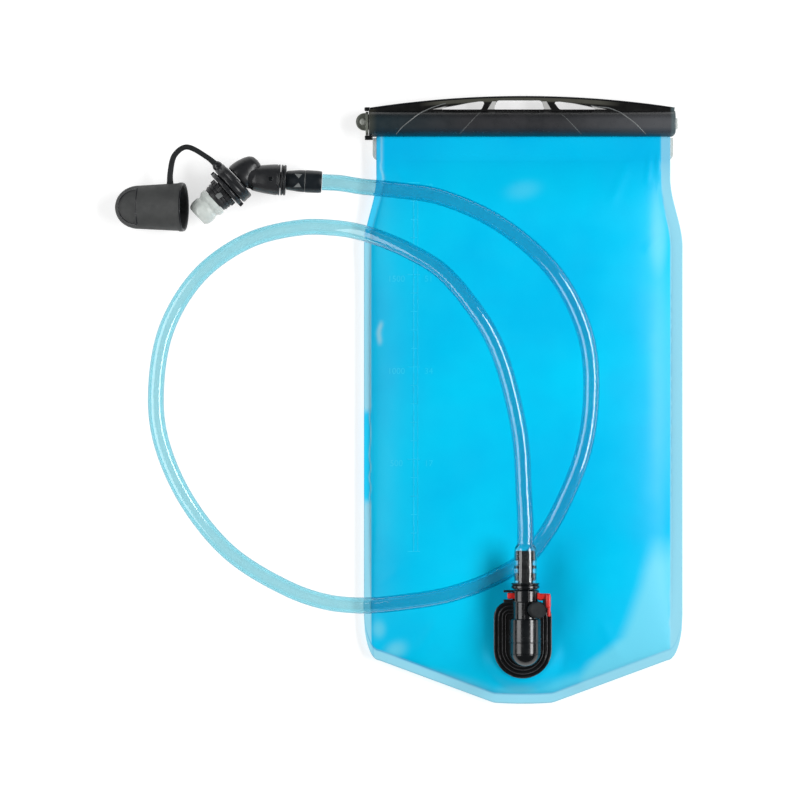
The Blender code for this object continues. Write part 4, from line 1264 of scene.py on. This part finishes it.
def along_valve():
    up = Vector((0.0, 0.0, 1.0))
    turn = Matrix((up, VALVE_WAY.cross(up), VALVE_WAY)).transposed().to_4x4()
    return Matrix.Translation(Vector((*VALVE_CENTRE, PIECE_Z))) @ turn


def raised_mark(name, corners, radius, place, rise=0.12):
    """A small flat mark wrapped on a turned face: corners are (height, side) in millimetres."""
    outline = [(h * MM, s * MM) for h, s in corners]
    flat = plate(name, outline, 0.3 * MM, Matrix.Identity(4), edge=0.06 * MM)
    for vert in flat.data.vertices:
        height, side, lift = vert.co
        reach = radius * MM + rise * MM - 0.15 * MM + lift
        vert.co = place @ Vector((math.sqrt(max(reach * reach - side * side, 0.0)), side, height))
    flat.data.flip_normals()
    return flat


def build_swivel():
    hose = along_hose()
    sleeve = lathe(
        "sleeve",
        [(5.1, 0.0), (6.1, 0.0), (6.4, 1.6), (6.5, 7.6), (6.45, 9.2), (6.1, 9.35), (6.1, 9.75), (6.4, 9.9),
         (6.3, 13.0), (5.7, 18.4), (5.5, 20.2), (5.1, 20.2)],
        hose, 0.3, 96, closed=True,
    )
    finish_piece(sleeve, "sleeve", "hose", ["hose_sleeve"])
    pieces = [sleeve]
    marks = [
        raised_mark(
            "mark", [(11.4, side * 3.7), (15.8, side * 3.9), (13.2, side * 1.3)][::side], 6.2, hose,
            0.25,
        )
        for side in (1, -1)
    ]
    line = lathe("line", [(6.05, 9.4), (6.3, 9.45), (6.3, 9.65), (6.05, 9.7)], hose, 0.05, 96, closed=True)
    marks = merge(*marks, line)
    marks.name = "sleeve_marks"
    finish_piece(marks, "pale_mark_and_highlight", "hose")
    pieces.append(marks)

    collar = lathe(
        "collar",
        [
            (5.2, 20.5), (8.3, 20.5), (8.8, 20.8), (8.8, 21.8), (8.2, 21.95), (8.2, 22.25),
            (8.8, 22.4), (8.8, 23.4), (5.2, 23.4),
        ],
        hose, 0.25, 96, closed=True,
    )
    finish_piece(collar, "body", "hose", ["swivel_collar"])
    pieces.append(collar)

    valve = along_valve()
    barrel = lathe(
        "barrel",
        [
            (0.0, 42.0), (3.0, 42.0), (5.6, 41.3), (6.9, 39.6), (7.4, 37.6), (8.2, 33.0),
            (8.8, 27.5), (8.9, 25.6), (8.5, 25.4), (8.5, 25.0), (8.9, 24.8), (8.9, 24.0),
            (0.0, 24.0),
        ],
        hose, 0.5,
    )
    heel = lathe(
        "heel",
        [
            (0.0, -8.8), (7.9, -8.8), (8.3, -9.8), (8.3, -12.0), (7.7, -15.6), (6.6, -19.2),
            (5.2, -22.0), (3.2, -23.7), (0.0, -24.2),
        ],
        valve, 0.8,
    )
    web = bead(
        "elbow_web",
        [
            Vector((*HOSE_END, PIECE_Z)) + HOSE_WAY * 36 * MM,
            Vector((*VALVE_CENTRE, PIECE_Z)) - VALVE_WAY * 13 * MM,
        ],
        [7.0 * MM, 7.4 * MM],
        48,
    )
    elbow = merge(barrel, heel, web)
    elbow.name = "elbow"
    finish_piece(elbow, "body", "elbow", ["elbow_body"])
    square = [(28.0, -1.2), (30.4, -1.2), (30.4, 1.2), (28.0, 1.2)]
    marks = raised_mark("barrel_mark", square, 8.66, hose, 0.2)
    finish_piece(marks, "gloss", "elbow")
    return pieces + [elbow, marks]


def build_valve():
    valve = along_valve()
    body = lathe(
        "valve",
        [
            (4.8, 16.0), (4.8, 9.6), (6.0, 9.5), (6.0, 1.4), (11.2, 1.4), (11.9, 0.8), (11.9, -0.8),
            (11.2, -1.4), (9.4, -1.5), (9.4, -8.0), (8.9, -8.5), (2.2, -8.5), (2.2, 16.0),
        ],
        valve, 0.35, 96, closed=True,
    )
    tab = block("flange_tab", (-2.0, -12.9, -1.3), (2.0, -10.5, 1.3), 0.5, valve)
    tab_2 = block("flange_tab_2", (-2.0, 10.5, -1.2), (2.0, 12.5, 1.2), 0.5, valve)
    lever = block("flange_lever", (10.4, -2.6, -1.3), (12.3, 2.6, 1.3), 0.5, valve)
    body = merge(body, tab, tab_2, lever)
    body.name = "twist_valve"
    pieces = [finish_piece(body, "body", "valve", ["valve_body"])]

    nut_profile = [
        (6.3, 9.6), (7.7, 9.6), (7.9, 9.3), (7.9, 8.5), (8.4, 8.3), (8.4, 7.0), (8.0, 6.85),
        (8.0, 6.6), (8.6, 6.45), (8.6, 5.2), (8.2, 5.05), (8.2, 4.8), (8.8, 4.65), (8.9, 1.7),
        (6.3, 1.7),
    ]
    nut = lathe("nut", nut_profile, valve, 0.16, 96, closed=True)
    ribs = []
    for i in range(22):
        turn = Matrix.Rotation(2 * math.pi * (i + 0.5) / 22, 4, "Z")
        ribs.append(block("nut_rib", (8.3, -0.35, 1.9), (9.15, 0.35, 4.5), 0.2, valve @ turn, 2))
    nut = merge(nut, *ribs)
    nut.name = "ribbed_nut"
    pieces.append(finish_piece(nut, "body", "valve", ["retaining_nut"]))
    key = raised_mark("nut_key", [
        (4.2, -1.9), (7.6, -1.6), (7.6, 1.2), (6.0, 1.3), (4.2, 0.6),
    ], 8.7, valve, 0.3)
    pieces.append(finish_piece(key, "pale_mark_and_highlight", "valve"))

    bite = lathe(
        "bite",
        [
            (5.1, 9.9), (8.1, 9.9), (8.6, 10.6), (8.6, 12.4), (7.9, 13.4), (7.1, 14.2), (7.1, 15.2),
            (7.8, 16.4), (7.9, 18.6), (7.7, 20.4), (7.0, 22.2), (5.9, 23.2), (0.6, 23.4),
            (0.0, 22.6), (0.0, 20.6), (4.2, 20.4), (5.1, 16.3),
        ],
        valve, 0.35, 96, closed=False,
    )
    pieces.append(finish_piece(bite, "silicone", "valve", ["bite_valve"]))
    stem = lathe("stem", [
        (4.6, 19.6), (4.9, 15.6), (4.9, 9.9), (2.4, 9.9), (2.4, 19.6),
    ], valve, 0.3, 48, closed=True)
    pieces.append(finish_piece(stem, "core", "valve"))
    return pieces


def build_tether():
    valve = along_valve()
    ring = lathe(
        "ring",
        [(9.7, -1.9), (11.8, -1.9), (12.4, -2.5), (12.4, -4.2), (12.2, -5.0), (12.4, -5.8), (12.4, -7.5),
         (11.8, -8.2), (9.7, -8.2)],
        valve, 0.45, 96, closed=True,
    )
    middle = Vector((*VALVE_CENTRE, PIECE_Z)) - VALVE_WAY * 5.0 * MM
    lug = lathe(
        "lug",
        [(0.0, 0.0), (2.9, 0.0), (2.9, 2.6), (2.6, 3.4), (1.9, 4.6), (0.0, 4.8)],
        frame_along(VALVE_SIDE, middle + VALVE_SIDE * 11.0 * MM),
        0.5,
        48,
    )
    ring = merge(ring, lug)
    ring.name = "cap_ring"
    finish_piece(ring, "body", "tether", ["tether_ring"])

    start = middle + VALVE_SIDE * 14.8 * MM
    points = [
        start,
        start + VALVE_SIDE * 5.4 * MM + Vector((-1.2 * MM, 0.0, 0.0)),
        Vector((-191.8 * MM, 145.4 * MM, 13.6 * MM)),
        Vector((-198.4 * MM, 140.8 * MM, 13.2 * MM)),
        Vector((-200.9 * MM, 131.0 * MM, 12.8 * MM)),
        Vector((-201.1 * MM, 123.4 * MM, 12.7 * MM)),
    ]
    path = smooth_path(points, 90)
    # The strap thickens a little towards the cap, and flares at both of its roots
    last = len(path) - 1
    radii = [
        (1.4 + 0.3 * i / len(path) + 0.5 * math.exp(-i / 5.0) + 0.6 * math.exp(-(last - i) / 3.0)) * MM
        for i in range(len(path))
    ]
    strap = bead("strap", path, radii, 20)
    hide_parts("cap_tether")
    strap.data.materials.append(LOOKS["pad"].material)
    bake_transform(strap)
    return [ring, strap]


# The thumb panel: its straight side behind the cap's mouth, its length and its half width
PANEL_START = 26.5 * MM
PANEL_LENGTH = 11.6 * MM
PANEL_HALF = 10.2 * MM


def cap_section(s, inset=0.0):
    """Half width and half height of the cap, s metres behind its mouth."""
    body = CAP_LENGTH - 14.0 * MM
    width = CAP_MOUTH_R - 1.4 * MM * min(s / body, 1.0)
    height = CAP_MOUTH_R - 4.6 * MM * min(s / body, 1.0)
    if s > body:
        t = min((s - body) / (CAP_LENGTH - body), 1.0)
        round_end = math.sqrt(max(1.0 - t * t, 0.0))
        width = 1.0 * MM + (width - 1.0 * MM) * round_end
        height = 1.8 * MM + (height - 1.8 * MM) * (1.0 - t) ** 0.75
    return max(width - inset, 0.2 * MM), max(height - inset, 0.2 * MM)


def thumb_panel(s, across):
    """1 inside the cap's sunken D-shaped thumb panel, 0 outside it."""
    reach = math.hypot((s - PANEL_START) / PANEL_LENGTH, across / PANEL_HALF)
    return float(ease((1.0 - reach) / 0.07) * ease((s - PANEL_START) / (0.6 * MM)))


def cap_top(s, across):
    width, height = cap_section(s)
    return height * math.sqrt(max(1.0 - (across / width) ** 2, 0.0))


def build_cap():
    place = Matrix.Translation(Vector((*CAP_MOUTH, PIECE_Z))) @ Matrix.Rotation(-CAP_TILT, 4, "Y")
    sides = 144
    body = CAP_LENGTH - 14.0 * MM
    stations = list(np.linspace(0.9 * MM, 26.0 * MM, 30)) + list(np.linspace(26.2 * MM, 39.0 * MM, 60))
    stations += [39.4 * MM, 39.75 * MM, 40.0 * MM, 40.15 * MM]
    form = bmesh.new()
    rings = []

    def add_ring(s, inset, panel=False):
        width, height = cap_section(max(s, 0.0), inset)
        row = []
        for a in np.linspace(0, 2 * math.pi, sides + 1)[:-1]:
            across, up = width * math.cos(a), height * math.sin(a)
            if panel and up > 0:
                up -= 0.6 * MM * thumb_panel(s, across)
            row.append(form.verts.new(place @ Vector((-s, across, up))))
        rings.append(row)

    hollow = [body + 2.5 * MM, body - 3 * MM, 18 * MM, 8 * MM, 1.2 * MM]
    for s in hollow:
        add_ring(s, CAP_WALL)
    for s, inset in ((0.45 * MM, 1.35 * MM), (0.05 * MM, 0.9 * MM), (0.0, 0.4 * MM), (0.35 * MM, -0.15 * MM)):
        add_ring(s, inset)
    add_ring(1.3 * MM, -0.3 * MM)
    add_ring(2.6 * MM, -0.28 * MM)
    add_ring(3.3 * MM, 0.0)
    for s in stations:
        if s > 3.6 * MM:
            add_ring(s, 0.0, panel=True)
    skin(form, rings)
    form.faces.new(rings[0][::-1])
    form.faces.new(rings[-1])
    bmesh.ops.recalc_face_normals(form, faces=form.faces)
    cap = smooth(new_piece("dust_cap", form), 50.0)
    finish_piece(cap, "rubber", "cap", ["bite_cap"])

    # A black bead sunk along the thumb panel's outline is painted shade in the panel's groove; the mouth gets
    # a black lip.
    turns = np.radians(np.linspace(0, 180, 61))
    outline = [(PANEL_START + PANEL_LENGTH * math.sin(a), PANEL_HALF * math.cos(a)) for a in turns]
    outline += [(PANEL_START, across) for across in np.linspace(-PANEL_HALF, PANEL_HALF, 25)[1:]]
    path = [place @ Vector((-s, across, cap_top(s, across) - 0.35 * MM)) for s, across in outline]
    edge = bead("panel_groove_shade", path, [0.65 * MM] * len(path), 8)
    lip = lathe(
        "mouth_lip",
        [(CAP_MOUTH_R / MM - 0.9, 0.1), (CAP_MOUTH_R / MM - 0.1, -0.2), (CAP_MOUTH_R / MM + 0.2, 0.6),
         (CAP_MOUTH_R / MM - 0.9, 0.8)],
        place @ frame_along((-1.0, 0.0, 0.0), (0.0, 0.0, 0.0)), 0.2, 96, closed=True,
    )
    groove_shade_and_lip = merge(edge, lip)
    groove_shade_and_lip.name = "cap_groove_shade_and_lip"
    finish_piece(groove_shade_and_lip, "black", "cap")
    return [cap, groove_shade_and_lip]


# The hidden return springs: radius, wire radius and length in millimetres, turns, start from the
# coupling's axis, way, the body that they push and the CAD node that they stand for
RETURN_SPRINGS = {
    "latch_return_spring": (1.2, 0.25, 4.6, 3.0, (7.5, -119.5), (1.0, 0.0, 0.0), "latch", "latch_spring"),
    "poppet_return_spring": (
        3.6, 0.4, 10.7, 4.5, (0.0, -148.3), (0.0, 1.0, 0.0), "poppet", "poppet_spring",
    ),
}


def build_springs():
    """Coil springs between the housing and a moving piece."""
    for name, (radius, wire, length, turns, place, way, pushed, node) in RETURN_SPRINGS.items():
        start = Vector((AXIS_X + place[0] * MM, place[1] * MM, AXIS_Z))
        about = frame_along(way, start)
        shares = np.linspace(0.0, 1.0, int(turns * 36) + 1)
        angles = 2 * math.pi * turns * shares
        path = [
            about @ Vector((radius * MM * math.cos(a), radius * MM * math.sin(a), length * MM * share))
            for a, share in zip(angles, shares)
        ]
        spring = bead(name, path, [wire * MM] * len(path), 10)
        spring.data.materials.append(LOOKS["steel"].material)
        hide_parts(node)
        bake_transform(spring)


def dress_hidden_parts():
    """The sealed inner parts keep their CAD shape and take their own looks."""
    for name, look in (
        ("shutoff_poppet", "white"),
        ("poppet_seal", "pad"),
        ("coupling_o_ring", "pad"),
        ("swivel_o_ring", "pad"),
        ("swivel_barb", "body"),
        ("valve_seal", "pad"),
    ):
        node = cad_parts[name]
        node.data.materials.clear()
        node.data.materials.append(LOOKS[look].material)


# ---------------------------------------------------------------- floor, light and camera


def build_stage():
    """A pale floor under soft light: two tall soft boxes at the sides and an even sky."""
    form = bmesh.new()
    bmesh.ops.create_grid(form, x_segments=1, y_segments=1, size=6.0)
    floor = new_piece("floor", form)
    floor.location.z = -0.05 * MM
    pale = Look(
        "pale floor", (0.55, 0.55, 0.55), 0.9, Specular_IOR_Level=0.0,
        Emission_Color=(1.0, 1.0, 1.0, 1.0), Emission_Strength=FLOOR_GLOW,
    )
    floor.data.materials.append(pale.material)

    world = bpy.data.worlds.new("Studio")
    world.use_nodes = True
    world.node_tree.nodes["Background"].inputs["Color"].default_value = (1.0, 1.0, 1.0, 1.0)
    world.node_tree.nodes["Background"].inputs["Strength"].default_value = SKY
    bpy.context.scene.world = world
    target = Vector((-0.04, 0.0, 0.01))
    for name, place, size, power in SOFT_BOXES:
        data = bpy.data.lights.new(name, "AREA")
        data.shape = "RECTANGLE"
        data.size, data.size_y = size
        data.energy = power
        light = bpy.data.objects.new(name, data)
        light.visible_transmission = False
        light.location = place
        aim = (target - Vector(place)).to_track_quat("-Z", "Y")
        light.rotation_euler = aim.to_euler()
        bpy.context.scene.collection.objects.link(light)


def build_camera():
    data = bpy.data.cameras.new("Camera")
    data.sensor_width = SENSOR
    data.lens = SENSOR * (CAMERA_HEIGHT - SHARP_Z) / VIEW_WIDTH
    camera = bpy.data.objects.new("Camera", data)
    camera.location = (VIEW_CENTRE[0], VIEW_CENTRE[1], CAMERA_HEIGHT)
    bpy.context.scene.collection.objects.link(camera)
    bpy.context.scene.camera = camera


SKY = 0.10
FLOOR_GLOW = 0.62
# Soft boxes: place, size along Y and size across, and power
SOFT_BOXES = [
    ("Right soft box", (1.19, 0.1, 1.07), (1.6, 0.55), 28.0),
    ("Left soft box", (-1.25, 0.0, 0.96), (1.7, 0.9), 16.5),
]
CAMERA_HEIGHT = 3.0
VIEW_CENTRE = (-68.9 * MM, 0.0)
VIEW_WIDTH = 460.0 * MM
SHARP_Z = 12.0 * MM
SENSOR = 36.0

bpy.context.scene.view_settings.view_transform = "Standard"
build_camera()
build_stage()
tube, tube_path = build_tube()
build_bag()
build_bar()
build_rod()
build_port()
build_springs()
mouthpiece = build_swivel() + build_valve() + build_tether() + build_cap()
dress_hidden_parts()
